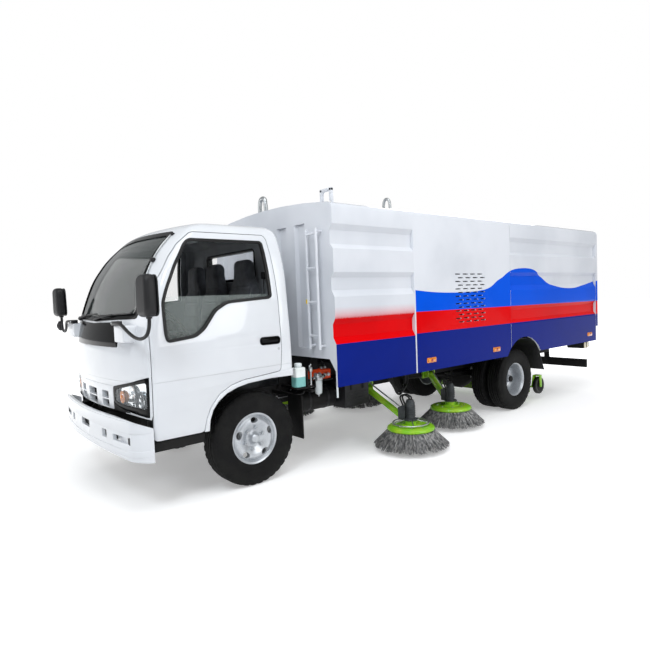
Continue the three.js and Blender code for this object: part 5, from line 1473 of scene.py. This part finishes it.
WIPER_PIVOT_Z = 1416
WIPER_HUB = [(-34, 0), (-34, 12), (-28, 18), (0, 21), (8, 21), (8, 0)]
BLADE_Z = 1442
BLADE_CLIMB = 14
wipers = Solid()
for pivot, tip in ((80, 672), (-520, 52)):

    def off(share, z, lift):
        """A point over the glass, some way along the wiper."""
        x = pivot + (tip - pivot) * share
        return (x, skin_y(x, z) - lift, z)

    def blade(start, lift):
        """The blade's line over the glass, from some way along the wiper to its tip."""
        return [off(start + (1 - start) * t, BLADE_Z + BLADE_CLIMB * t, lift)
                for t in (i / 12 for i in range(13))]

    hub = (pivot, skin_y(pivot, WIPER_PIVOT_Z), WIPER_PIVOT_Z)
    wipers.take(turned(WIPER_HUB, "y", hub, 24))
    limb = bend([off(0, WIPER_PIVOT_Z, 30), off(0.12, 1424, 34), off(0.3, 1436, 32), off(0.54, 1450, 22)], 5)
    wipers.take(tube(limb, [10 - 5 * i / (len(limb) - 1) for i in range(len(limb))], 8))
    wipers.take(tube(blade(0.12, 17), 4.5, 8))
    wipers.take(tube(blade(0.10, 8), 5, 6), 1)
    for share in (0.2, 0.42, 0.66, 0.9):
        z = BLADE_Z + BLADE_CLIMB * share
        wipers.take(tube([off(share, z, 17), off(share, z, 6)], 6, 6))
piece("windscreen_wipers", "cab", wipers, [grained_black, seal_rubber], bevel=1, slot="plastic_black")

# The aerial rod runs up the left pillar between two feet, with a knob at its middle.
AERIAL_KNOB = [(-16, 0), (-16, 14), (-10, 19), (14, 19), (24, 12), (24, 0)]
AERIAL_FOOT = [(-10, 0), (-10, 9), (-6, 11), (22, 11), (22, 0)]
rod = []
for t in (i / 10 for i in range(11)):
    x, z = 728 - 100 * t, 1640 + 410 * t
    rod.append((x, skin_y(x, z) - 18, z))
aerial = Solid().take(tube(rod, 6, 12))
aerial.take(turned(AERIAL_KNOB, "y", rod[5], 20), 1)
for spot in (rod[0], rod[-1]):
    aerial.take(turned(AERIAL_FOOT, "y", spot, 16), 1)
piece("aerial_rod", "cab", aerial, [zinc_steel, grained_black], bevel=1, slot="machine_grey")

# ---- inside the cab ----------------------------------------------------------------------
# Moulded vinyl skin: soft black with a fine leather grain.
dash_black = finish("moulded_dash_vinyl", "#1b1c1e", "#232427", 1.8, 160, (0.45, 0.62), lift=0.08)
polished("dashboard", dash_black, bevel=4, angle=38)
HOOD = rounded([(150, 1352), (170, 1404), (240, 1424), (500, 1424), (570, 1404), (590, 1352)], 20, 5)
DIAL_PANEL = rounded([(196, 1364), (206, 1400), (534, 1400), (544, 1364)], 12, 4)
DIAL_RING = [(-748, 0), (-748, 25), (-744, 27), (-744, 23), (-746, 22), (-746, 0)]
GEAR_KNOB = [(1196, 0), (1200, 18), (1218, 25), (1236, 20), (1242, 0)]
GEAR_BOOT = [(1000, 0), (1000, 62), (1030, 40), (1062, 16), (1062, 0)]
inside = Solid()
inside.take(prism(HOOD, "y", -870, -752))
inside.take(prism(DIAL_PANEL, "y", -753, -748), 1)
for x in (286, 454):
    inside.take(turned(DIAL_RING, "y", (x, 0, 1381), 28), 2)
# Four air vents with five slats each.
for x in (-560, -190, 40, 640):
    inside.take(prism(slab(x - 52, x + 52, 1232, 1292, 10), "y", -628, -611), 1)
    for low in range(1240, 1290, 10):
        inside.take(box(x - 46, x + 46, -613, -607, low, low + 3))
inside.take(prism(slab(-110, 90, 1130, 1214, 10), "y", -616, -603), 1)
for x in (-70, -10, 50):
    inside.take(stud("y", (x, 0, 1172), -608, -594, 13, 20, far=11), 2)
inside.take(prism(slab(-640, -260, 1060, 1200, 16), "y", -618, -605))
inside.take(tube(bend([(160, -540, 1010), (162, -520, 1120), (168, -470, 1210)], 5), 9, 12), 2)
inside.take(turned(GEAR_KNOB, "z", (169, -462, 0), 24))
inside.take(turned(GEAR_BOOT, "z", (160, -538, 0), 20), 3)
# The stalks for lights and wipers on both sides of the steering column.
column = Vector((370, -505, 1290))
for heading in (0.5, 2.64):
    stalk = Vector((150 * math.cos(heading), -18, 14))
    inside.take(tube([column, column + stalk], 6, 10))
piece("dash_fittings", "cab", inside, [dash_black, grained_black, zinc_steel, seal_rubber], bevel=1.6,
      slot="plastic_black")
WHEEL_TILT = math.radians(38)
HUB_PAD = [(-14, 0), (-14, 58), (4, 66), (16, 56), (20, 0)]
on_column = Matrix.Translation((370, -470, 1335)) @ Matrix.Rotation(WHEEL_TILT, 4, "X")
hub_pad = Solid().take(turned(HUB_PAD, "y", (0, 0, 0), 40)).moved(on_column)
piece("steering_wheel_pad", "cab", hub_pad, dash_black, bevel=4, slot="plastic_black")
# Sun visors on their rods, and the lamp in the middle of the roof.
visors = Solid()
for x in (-360, 360):
    visors.take(prism(slab(x - 190, x + 190, 2018, 2034, 8, 3), "y", -520, -372))
    visors.take(tube([(x - 200, -515, 2032), (x + 200, -515, 2032)], 8, 10), 1)
visors.take(prism(slab(-90, 90, 2062, 2080, 6, 3), "y", -170, -60), 2)
piece("sun_visors", "cab", visors, [cab_trim, grained_black, milk_plastic], bevel=4, slot="plastic_black")

# ---- seats -------------------------------------------------------------------------------
SEAT_SIDE = [(-322, 1024), (-336, 1070), (-332, 1112), (-306, 1138), (-120, 1142), (40, 1122),
             (140, 1112), (168, 1070), (160, 1018)]
BACK_SIDE = [(112, 1096), (118, 1240), (132, 1400), (158, 1560), (172, 1676), (164, 1760),
             (168, 1868), (186, 1890), (232, 1892), (256, 1868), (262, 1700), (262, 1400), (256, 1090)]
SEATS = (("driver", 420, 232), ("middle", -122, 196), ("passenger", -536, 196))
SEAT_GRID = 0.013  # metres between the points of the padded forms
CLOTH_STEPS = 20
SEAM_DEPTH = 8
SEAM_WIDTH = 9
PANEL_MARGIN = 62
FAR = 1000
# The sewn lines lie over this height on a cushion and ahead of this station on a back.
CUSHION_FACE = 1090
BACK_FACE = 200
CUSHION_SEAMS = (-215, -95, 25)
BACK_SEAMS = (1230, 1370, 1510, 1640)


def back_line(x, half):
    """The outline of a high seat back from the front, its headrest in one with it."""
    side_half = [(half - 8, 1092), (half, 1200), (half + 2, 1420), (half - 10, 1560), (half - 52, 1662),
                 (132, 1716), (118, 1780), (112, 1856), (84, 1892)]
    return rounded([(x + a, z) for a, z in side_half] + [(x - a, z) for a, z in side_half[::-1]], 26, 3)


def upholstered(name, side_line, cross, axis, reach, x, half):
    """A padded form from its side outline and the outline across it, in even faces."""
    form = loose(span(rounded(side_line, 18, 3), "x", x - half, x + half), name)
    carve(form, span(cross, axis, *reach), "INTERSECT")
    step = form.modifiers.new("even", "REMESH")
    step.mode = "VOXEL"
    step.voxel_size = SEAT_GRID
    bpy.context.view_layer.update()
    return settle(form)


def padding(forms, cap=11):
    """Lets the forms swell under pressure, each point by no more than cap mm."""
    rest = [[v.co.copy() for v in form.data.vertices] for form in forms]
    for form in forms:
        cloth = form.modifiers.new("swell", "CLOTH")
        cloth.settings.use_pressure = True
        cloth.settings.uniform_pressure_force = 4
        cloth.settings.effector_weights.gravity = 0
        cloth.point_cache.frame_start = 1
        cloth.point_cache.frame_end = CLOTH_STEPS
    for moment in range(1, CLOTH_STEPS + 1):
        scene.frame_set(moment)
    for form, points in zip(forms, rest):
        settle(form)
        for v, start in zip(form.data.vertices, points):
            step = v.co - start
            if step.length > cap / 1000:
                v.co = start + step * (cap / 1000 / step.length)
    scene.frame_set(1)


def sewn(form, gap, x, panel):
    """Pulls the cover in along the sewn lines round its middle panel."""
    step = form.modifiers.new("finer", "SUBSURF")
    step.levels = step.render_levels = 1
    bpy.context.view_layer.update()
    settle(form)
    mesh = form.data
    normals = [v.normal.copy() for v in mesh.vertices]
    for v, normal in zip(mesh.vertices, normals):
        away = gap(from_axle(v.co), x, panel)
        v.co -= normal * (SEAM_DEPTH * math.exp(-(away / SEAM_WIDTH) ** 2) / 1000)
    return form


def cushion_gap(p, x, panel):
    """How far a point on a seat is from a sewn line, or FAR where there is none."""
    if p.z <= CUSHION_FACE:
        return FAR
    channels = (abs(p.y - y) for y in CUSHION_SEAMS)
    inside = abs(p.x - x) < panel
    return min(abs(abs(p.x - x) - panel), min(channels) if inside else FAR)


def back_gap(p, x, panel):
    """The same for a seat's back, whose outer lines end under the headrest."""
    if p.y >= BACK_FACE:
        return FAR
    channels = (abs(p.z - z) for z in BACK_SEAMS)
    inside = abs(p.x - x) < panel
    outer = abs(abs(p.x - x) - panel) if p.z < BACK_SEAMS[-1] else FAR
    return min(outer, min(channels) if inside else FAR)


seat_forms = []
for label, x, half in SEATS:
    plan = rounded([(x - half, -340), (x + half, -340), (x + half + 6, 170), (x - half - 6, 170)], 60, 6)
    cushion = upholstered("seat_cushion_" + label, SEAT_SIDE, plan, "z", (900, 2000), x, half + 10)
    back = upholstered("seat_back_" + label, BACK_SIDE, back_line(x, half), "y", THROUGH, x, half + 10)
    seat_forms += [(cushion, cushion_gap, x, half), (back, back_gap, x, half)]
padding([form for form, *_ in seat_forms])
for form, gap, x, half in seat_forms:
    sewn(form, gap, x, half - PANEL_MARGIN)
    complete(form, form.name, "cab", seat_cloth, angle=80, slot=slot_of["seats"],
             stands_for=("seats",))
plinth = Solid().take(prism(slab(-320, 258, 932, 1010, 14), "x", -738, 658))
for _, x, _ in SEATS:
    for shift in (-139, 139):
        plinth.take(box(x + shift - 11, x + shift + 11, -300, 230, 1008, 1024), 1)
piece("seat_plinth", "cab", plinth, [cab_trim, chassis_black], bevel=5, slot="plastic_black")
belts = Solid()
for x in (640, -715):
    belts.take(tube([(x, 262, 1220), (x, 270, 1500), (x, 272, 1720)], 5, 6))
    belts.take(prism(slab(x - 22, x + 22, 1700, 1760, 8, 3), "y", 262, 288))
piece("seat_belt_anchors", "cab", belts, grained_black, bevel=2, slot="plastic_black")


# ---- service equipment behind the cab ---------------------------------------------------------
def screen_wash(tree, spot):
    """Milky wall above the level of the wash, teal below it."""
    axes = add(tree, "ShaderNodeSeparateXYZ", links={0: spot.outputs["Object"]})
    return mixed(tree, ramp(tree, axes.outputs[2], 0.838, 0.846), "#7cbcb8", "#e8eceb")


# Blown polyethylene bottle, half full of teal screen wash.
wash_bottle = finish("blown_polyethylene_bottle", "#e8eceb", "#f0f2f1", 6, 60, (0.28, 0.4), coat=0.2,
                     colour=screen_wash)
RACK_BARS = (
    (370, 384, 540, 720, 560, 712), (370, 882, 560, 600, 690, 712), (400, 414, 540, 700, 690, 930),
    (384, 712, 640, 760, 704, 716), (800, 900, 392, 580, 738, 750), (800, 900, 508, 520, 738, 900),
    (384, 660, 756, 992, 730, 742),
)
rack = Solid()
for bar in RACK_BARS:
    rack.take(box(*bar))
for y in (580, 690):
    rack.take(stud("x", (0, y, 640), 384, 396, 13, 6, far=12), 1)
piece("service_rack_frame", "chassis", rack, [chassis_black, zinc_steel], bevel=2, slot="frame_black",
      stands_for=("service_rack",))

BOTTLE_AT = (850, 450, 0)
CAP_PROFILE = [(930, 0), (930, 32), (934, 34), (954, 33), (960, 26), (960, 0)]


def knurl(j, k, r):
    """Every other step of the cap's rim is drawn in."""
    return r * 0.95 if k % 2 and j in (1, 2, 3) else r


bottle = Solid().take(prism(slab(806, 896, 396, 504, 26, 6), "z", 752, 922))
bottle.take(stud("z", BOTTLE_AT, 914, 934, 30, 32, far=26))
piece("wash_bottle", "chassis", bottle, wash_bottle, bevel=11, segments=5, angle=50, slot="white_paint")
cap = Solid().take(turned(CAP_PROFILE, "z", BOTTLE_AT, 32, knurl))
piece("wash_bottle_cap", "chassis", cap, milk_plastic, bevel=1, slot="white_paint")

# The water filter: head, milky bowl and drain, with a pipe stub and a hose on each side.
x, y = 750, 747
FILTER_AT = (x, y, 0)
FILTER_HEAD = [(762, 0), (762, 40), (768, 43), (800, 43), (806, 36), (822, 34), (826, 0)]
FILTER_BOWL = [(628, 0), (634, 22), (646, 33), (764, 36), (764, 0)]
filters = Solid()
filters.take(turned(FILTER_HEAD, "z", FILTER_AT, 36))
filters.take(turned(FILTER_BOWL, "z", FILTER_AT, 36), 1)
filters.take(stud("z", FILTER_AT, 612, 630, 8, 6, far=9))
for end in (-1, 1):
    filters.take(tube([(x, y + 36 * end, 788), (x, y + 62 * end, 788)], 13, 12))
for route in ([(x, y + 60, 788), (x - 20, y + 90, 790), (x - 80, y + 96, 794), (640, y + 70, 796)],
              [(x, y - 60, 788), (x + 4, y - 90, 780), (x - 40, y - 120, 730), (700, 600, 660),
               (560, 590, 640)]):
    filters.take(tube(bend(route, 5), 11, 12), 2)
filters.take(box(560, 760, 738, 756, 700, 716), 3)
filters.take(box(744, 756, 700, 742, 700, 800), 3)
# A lever valve on a bent steel pipe between bottle and filter.
filters.take(tube(bend([(800, 620, 716), (800, 622, 800), (800, 624, 880), (780, 626, 912)], 5), 10, 12))
filters.take(stud("z", (800, 624, 0), 862, 900, 19, 6))
filters.take(tube([(800, 624, 902), (836, 600, 930)], 6, 8))
piece("water_filter", "chassis", filters, [zinc_steel, milk_plastic, seal_rubber, chassis_black], bevel=2,
      slot="machine_grey")

# Two orange valve blocks with their side and top plugs, and the hoses that leave them.
valves = Solid()
valves.take(prism(slab(762, 868, 750, 846, 8, 3), "x", 560, 648))
valves.take(prism(slab(872, 988, 744, 832, 8, 3), "x", 556, 640))
for y in (790, 838, 900, 946):
    level = 800 if y < 870 else 786
    valves.take(stud("x", (0, y, level), 646, 664, 19, 6, far=18), 1)
    valves.take(turned([(838, 0), (838, 15), (856, 15), (860, 10), (860, 0)], "z", (604, y, 0), 16), 1)
for y in (800, 930):
    route = [(604, y, 858), (600, y + 6, 884), (540, y + 30, 896), (450, y + 80, 880), (392, y + 120, 850)]
    valves.take(tube(bend(route, 6), 10, 12), 2)
piece("valve_block", "chassis", valves, [valve_orange, zinc_steel, seal_rubber], bevel=3, slot="machine_grey")

# ---- chassis -----------------------------------------------------------------------------
polished("chassis_frame", chassis_black, bevel=3, angle=40)


# The stations of the brush brackets, how far out they start and how high they reach.
BRACKET_SPANS = ((1380, 1900), (2420, 2820))
RAIL_SIDE = 373
BRACKET_TOP = 905


def bracket_side(centre, normal):
    """1 for the lime brush brackets outside the rails, 0 for the black beams."""
    near = any(front < centre.y < back for front, back in BRACKET_SPANS)
    return 1 if near and abs(centre.x) > RAIL_SIDE and centre.z < BRACKET_TOP else 0


polished("subframe", [chassis_black, lime_enamel], choose=bracket_side, bevel=2, angle=40)
for name in ("front_axle", "rear_axle", "fuel_tank"):
    polished(name, chassis_black, bevel=4, segments=3, angle=38)
polished("engine_gearbox", machine_grey, bevel=9, segments=3, angle=38)
polished("auxiliary_engine", machine_grey, bevel=6, angle=38)
for side, _ in SIDES:
    polished("mudguard_" + side, grained_black, bevel=2, angle=38)
    polished("knuckle_" + side, chassis_black, bevel=1.5, angle=38)


LEAF_THICK = 9.4
LEAF_PITCH = 10.5


def leaf(middle, length, level, rise):
    """One spring leaf, bowed up towards its ends."""
    top = [(middle + length * t, level + rise * t * t) for t in (i / 8 - 1 for i in range(17))]
    return top + [(y, z - LEAF_THICK) for y, z in top[::-1]]


# Each spring's middle, the level of its longest leaf, its leaves, the length of half a leaf,
# the rise of its ends, and how far out and how high its eyes are.
SPRINGS = ((0, 424, 6, 548, 66, 560, 64), (WHEELBASE, 474, 7, 600, 30, 610, 28))
springs = Solid()
for middle, level, leaves, longest, rise, eye, eye_up in SPRINGS:
    for k in range(leaves):
        length = longest * (1 - 0.115 * k)
        bowed = leaf(middle, length, level - LEAF_PITCH * k, rise * (length / 600) ** 2)
        springs.take(prism(bowed, "x", 296, 368))
    # U-bolts and their plates hold the spring on the axle.
    for y in (middle - 62, middle + 62):
        for x in (290, 374):
            springs.take(tube([(x, y, level - 10 * leaves - 40), (x, y, level + 26)], 8, 10), 1)
        springs.take(box(282, 382, y - 12, y + 12, level + 4, level + 18), 1)
    for end in (-1, 1):
        eye_at = (0, middle + end * eye, level + eye_up)
        springs.take(stud("x", eye_at, 288, 376, 26, 20))
    # Shock absorber beside the spring.
    y = middle + 210
    springs.take(tube([(268, y - 120, level - 60), (268, y - 70, level + 40)], 30, 16))
    springs.take(tube([(268, y - 75, level + 30), (268, y - 30, level + 120)], 36, 16))
piece("leaf_springs", "chassis", springs.mirror(), [chassis_black, zinc_steel], bevel=1, slot="frame_black")

# Formed steel lines clipped along the rails.
LINE_ROUTE = [(-420, 640), (300, 642), (500, 600), (1150, 604), (1340, 640)]
lines = Solid()
for x, drop in ((378, 0), (386, 14)):
    lines.take(tube(bend([(x, y, z - drop) for y, z in LINE_ROUTE], 6), 5, 8))
for y in (-300, 60, 420, 800, 1120):
    lines.take(box(370, 392, y - 8, y + 8, 584, 652), 1)
# The air tank hangs on the left rail in two straps.
TANK_AT = (500, 0, 548)
AIR_TANK = [(640, 0), (646, 90), (668, 112), (1070, 112), (1092, 90), (1098, 0)]
lines.take(turned(AIR_TANK, "y", TANK_AT, 36), 2)
for y in (760, 980):
    lines.take(stud("y", TANK_AT, y - 14, y + 14, 115, 36), 1)
    lines.take(box(370, 420, y - 14, y + 14, 500, 640), 2)
piece("air_tank_and_lines", "chassis", lines, [zinc_steel, grained_black, chassis_black], bevel=2,
      slot="frame_black")

# Battery box beside the frame, ahead of the front brush, with its lid, latches and ribs.
battery = Solid()
battery.take(prism(slab(372, 690, 430, 690, 18), "y", 1120, 1440))
battery.take(prism(slab(366, 698, 672, 700, 8), "y", 1112, 1448))
for y in (1200, 1360):
    battery.take(box(690, 696, y - 12, y + 12, 600, 690), 1)
    battery.take(box(694, 700, y - 16, y + 16, 664, 686), 1)
for low in range(470, 598, 32):
    battery.take(box(688, 693, 1150, 1410, low, low + 14))
piece("battery_box", "chassis", battery, [grained_black, chassis_black], bevel=3, slot="frame_black")

# Three rubber lines hang in a loop between the clips on each rail, between the brushes.
hoses = Solid()
for drop in (0, 26, 52):
    route = [(430, 1960 + drop, 690), (470, 1990 + drop, 560 - drop), (480, 2080, 470 - drop),
             (470, 2200 - drop, 452 - drop), (440, 2300 - drop, 520 - drop), (420, 2340 - drop, 690)]
    hoses.take(tube(bend(route, 7), 13, 12))
for y in (1966, 2006, 2290, 2336):
    hoses.take(box(372, 446, y - 12, y + 30, 668, 700), 1)
piece("brush_lines", "chassis", hoses.mirror(), [seal_rubber, chassis_black], slot="soft_rubber")

# ---- tail ------------------------------------------------------------------------------
# Lamp housing on its bar, with red, cream and amber lenses behind and two cream ones outside.
tail = Solid()
tail.take(box(360, 948, 5722, 5752, 688, 706))
tail.take(box(360, 400, 5560, 5752, 640, 706))
tail.take(prism(slab(700, 948, 616, 712, 12), "y", 5630, 5770))
for k, (inner, outer) in enumerate(((708, 784), (788, 862), (866, 944))):
    tail.take(prism(slab(inner, outer, 636, 708, 8), "y", 5768, 5780), k + 1)
for front, back in ((5636, 5682), (5716, 5764)):
    tail.take(prism(slab(front, back, 622, 706, 8), "x", 944, 956), 2)
piece("tail_lamps", "chassis", tail.mirror(), [grained_black, red_lens, cream_lens, amber_lens], bevel=2,
      slot="plastic_black")
plate = Solid()
plate.take(prism(slab(-230, 230, 560, 690, 10), "y", 5760, 5766))
plate.take(box(-220, 220, 5755, 5764, 690, 716), 1)
plate.take(prism(slab(-210, 210, 572, 678, 6, 3), "y", 5765, 5769), 2)
piece("rear_plate_holder", "chassis", plate, [grained_black, zinc_steel, milk_plastic], bevel=1.5,
      slot="plastic_black")


# ---- camera, light and floor --------------------------------------------------------------
SLOT_FINISHES = {
    "white_paint": coach_paint,
    "frame_black": chassis_black,
    "machine_grey": machine_grey,
    "lime_paint": lime_enamel,
    "silver_paint": wheel_silver,
    "tyre_rubber": tyre_rubber,
    "soft_rubber": seal_rubber,
    "plastic_black": grained_black,
    "lamp_clear": lamp_lens,
    "window_glass": clear_glass,
    "seat_cloth": seat_cloth,
}
# Every CAD node that still shows gets its slot's finish.
for name, node in nodes.items():
    if not node.hide_render:
        node.data.materials.clear()
        node.data.materials.append(SLOT_FINISHES[slot_of[name]])

CAMERA_AT = (4483, -2202, 1513)
HEADING = math.radians(50.71)
PITCH = math.radians(2.96)
ROLL = math.radians(-2.24)
SENSOR = 36
LENS_SHARE = 521 / 650  # the focal length as a share of the picture's side
camera_data = bpy.data.cameras.new("view")
camera = bpy.data.objects.new("view", camera_data)
scene.collection.objects.link(camera)
level = Vector((math.cos(HEADING), math.sin(HEADING), 0))
ahead = Vector((-math.sin(HEADING), math.cos(HEADING), 0))
forward = ahead * math.cos(PITCH) - Vector((0, 0, math.sin(PITCH)))
plumb = level.cross(forward)
right = level * math.cos(ROLL) + plumb * math.sin(ROLL)
upward = plumb * math.cos(ROLL) - level * math.sin(ROLL)
turn = Matrix((right, upward, -forward)).transposed().to_4x4()
camera.matrix_world = Matrix.Translation(place(*CAMERA_AT)) @ turn
camera_data.sensor_width = SENSOR
camera_data.lens = SENSOR * LENS_SHARE
camera_data.clip_end = 200
scene.camera = camera

FLOOR_HALF = 60
corners = [(-FLOOR_HALF, -FLOOR_HALF, 0), (FLOOR_HALF, -FLOOR_HALF, 0),
           (FLOOR_HALF, FLOOR_HALF, 0), (-FLOOR_HALF, FLOOR_HALF, 0)]
floor_mesh = bpy.data.meshes.new("floor")
floor_mesh.from_pydata(corners, [], [(0, 1, 2, 3)])
floor = bpy.data.objects.new("floor", floor_mesh)
scene.collection.objects.link(floor)
# Pale studio floor, matt vinyl, that reads as the white background to the camera.
floor_vinyl = bpy.data.materials.new("matt_studio_vinyl")
floor_vinyl.use_nodes = True
tree = floor_vinyl.node_tree
tree.nodes.clear()
matt = add(tree, "ShaderNodeBsdfPrincipled", {"Base Color": linear("#f6f6f6"), "Roughness": 0.9})
ray = add(tree, "ShaderNodeLightPath")
seen = maths(tree, "MAXIMUM", ray.outputs["Is Camera Ray"], ray.outputs["Is Glossy Ray"])
seen = maths(tree, "MAXIMUM", seen, ray.outputs["Is Transmission Ray"])
spot = add(tree, "ShaderNodeTexCoord")
away = add(tree, "ShaderNodeVectorMath", {"operation": "LENGTH"}, {0: spot.outputs["Object"]})
# Near the truck the floor keeps its shadows, and from 8 m on it is plain white.
pale = add(tree, "ShaderNodeMapRange", {"interpolation_type": "SMOOTHSTEP", 1: 3.5, 2: 8.0, 3: 0.3, 4: 1.0},
           {0: away.outputs["Value"]}).outputs[0]
glow = maths(tree, "MULTIPLY", seen, pale)
lit = add(tree, "ShaderNodeEmission", {"Color": (1, 1, 1, 1)}, {"Strength": glow})
total = add(tree, "ShaderNodeAddShader", links={0: matt.outputs[0], 1: lit.outputs[0]})
add(tree, "ShaderNodeOutputMaterial", links={0: total.outputs[0]})
floor_mesh.materials.append(floor_vinyl)

# The studio's air is white to the camera and a softer, cooler white to the surfaces.
world = bpy.data.worlds.new("studio")
scene.world = world
world.use_nodes = True
tree = world.node_tree
tree.nodes.clear()
ray = add(tree, "ShaderNodeLightPath")
seen = maths(tree, "MAXIMUM", ray.outputs["Is Camera Ray"], ray.outputs["Is Transmission Ray"])
soft = add(tree, "ShaderNodeBackground", {"Color": (0.97, 0.985, 1.0, 1), "Strength": 0.5})
bright = add(tree, "ShaderNodeBackground", {"Color": (1, 1, 1, 1), "Strength": 1.0})
both_worlds = add(tree, "ShaderNodeMixShader", links={0: seen, 1: soft.outputs[0], 2: bright.outputs[0]})
add(tree, "ShaderNodeOutputWorld", links={0: both_worlds.outputs[0]})


def lamp(name, spot, target, size, watts, colour="#ffffff"):
    """A round panel of light that faces its target. Places and size are in metres."""
    data = bpy.data.lights.new(name, "AREA")
    data.shape = "DISK"
    data.size = size
    data.energy = watts
    data.color = linear(colour)[:3]
    made = bpy.data.objects.new(name, data)
    scene.collection.objects.link(made)
    aim = (Vector(target) - Vector(spot)).to_track_quat("-Z", "Y")
    made.matrix_world = Matrix.Translation(spot) @ aim.to_matrix().to_4x4()


lamp("sky_panel", (3.5, -3.0, 9.0), (0, 0, 1), 7.0, 335)
lamp("side_panel", (9.5, 1.0, 4.5), (0, 0, 1.2), 5.0, 215)
lamp("front_panel", (-4.0, -9.5, 4.5), (0, -2, 1.2), 5.0, 150)
lamp("gap_panel", (4.5, -7.0, 6.5), (0.5, -1.5, 2.0), 2.0, 165, "#f2f9ff")
lamp("rear_panel", (-5.0, 8.5, 5.0), (0, 1, 1.2), 5.0, 180)

scene.view_settings.view_transform = "Standard"
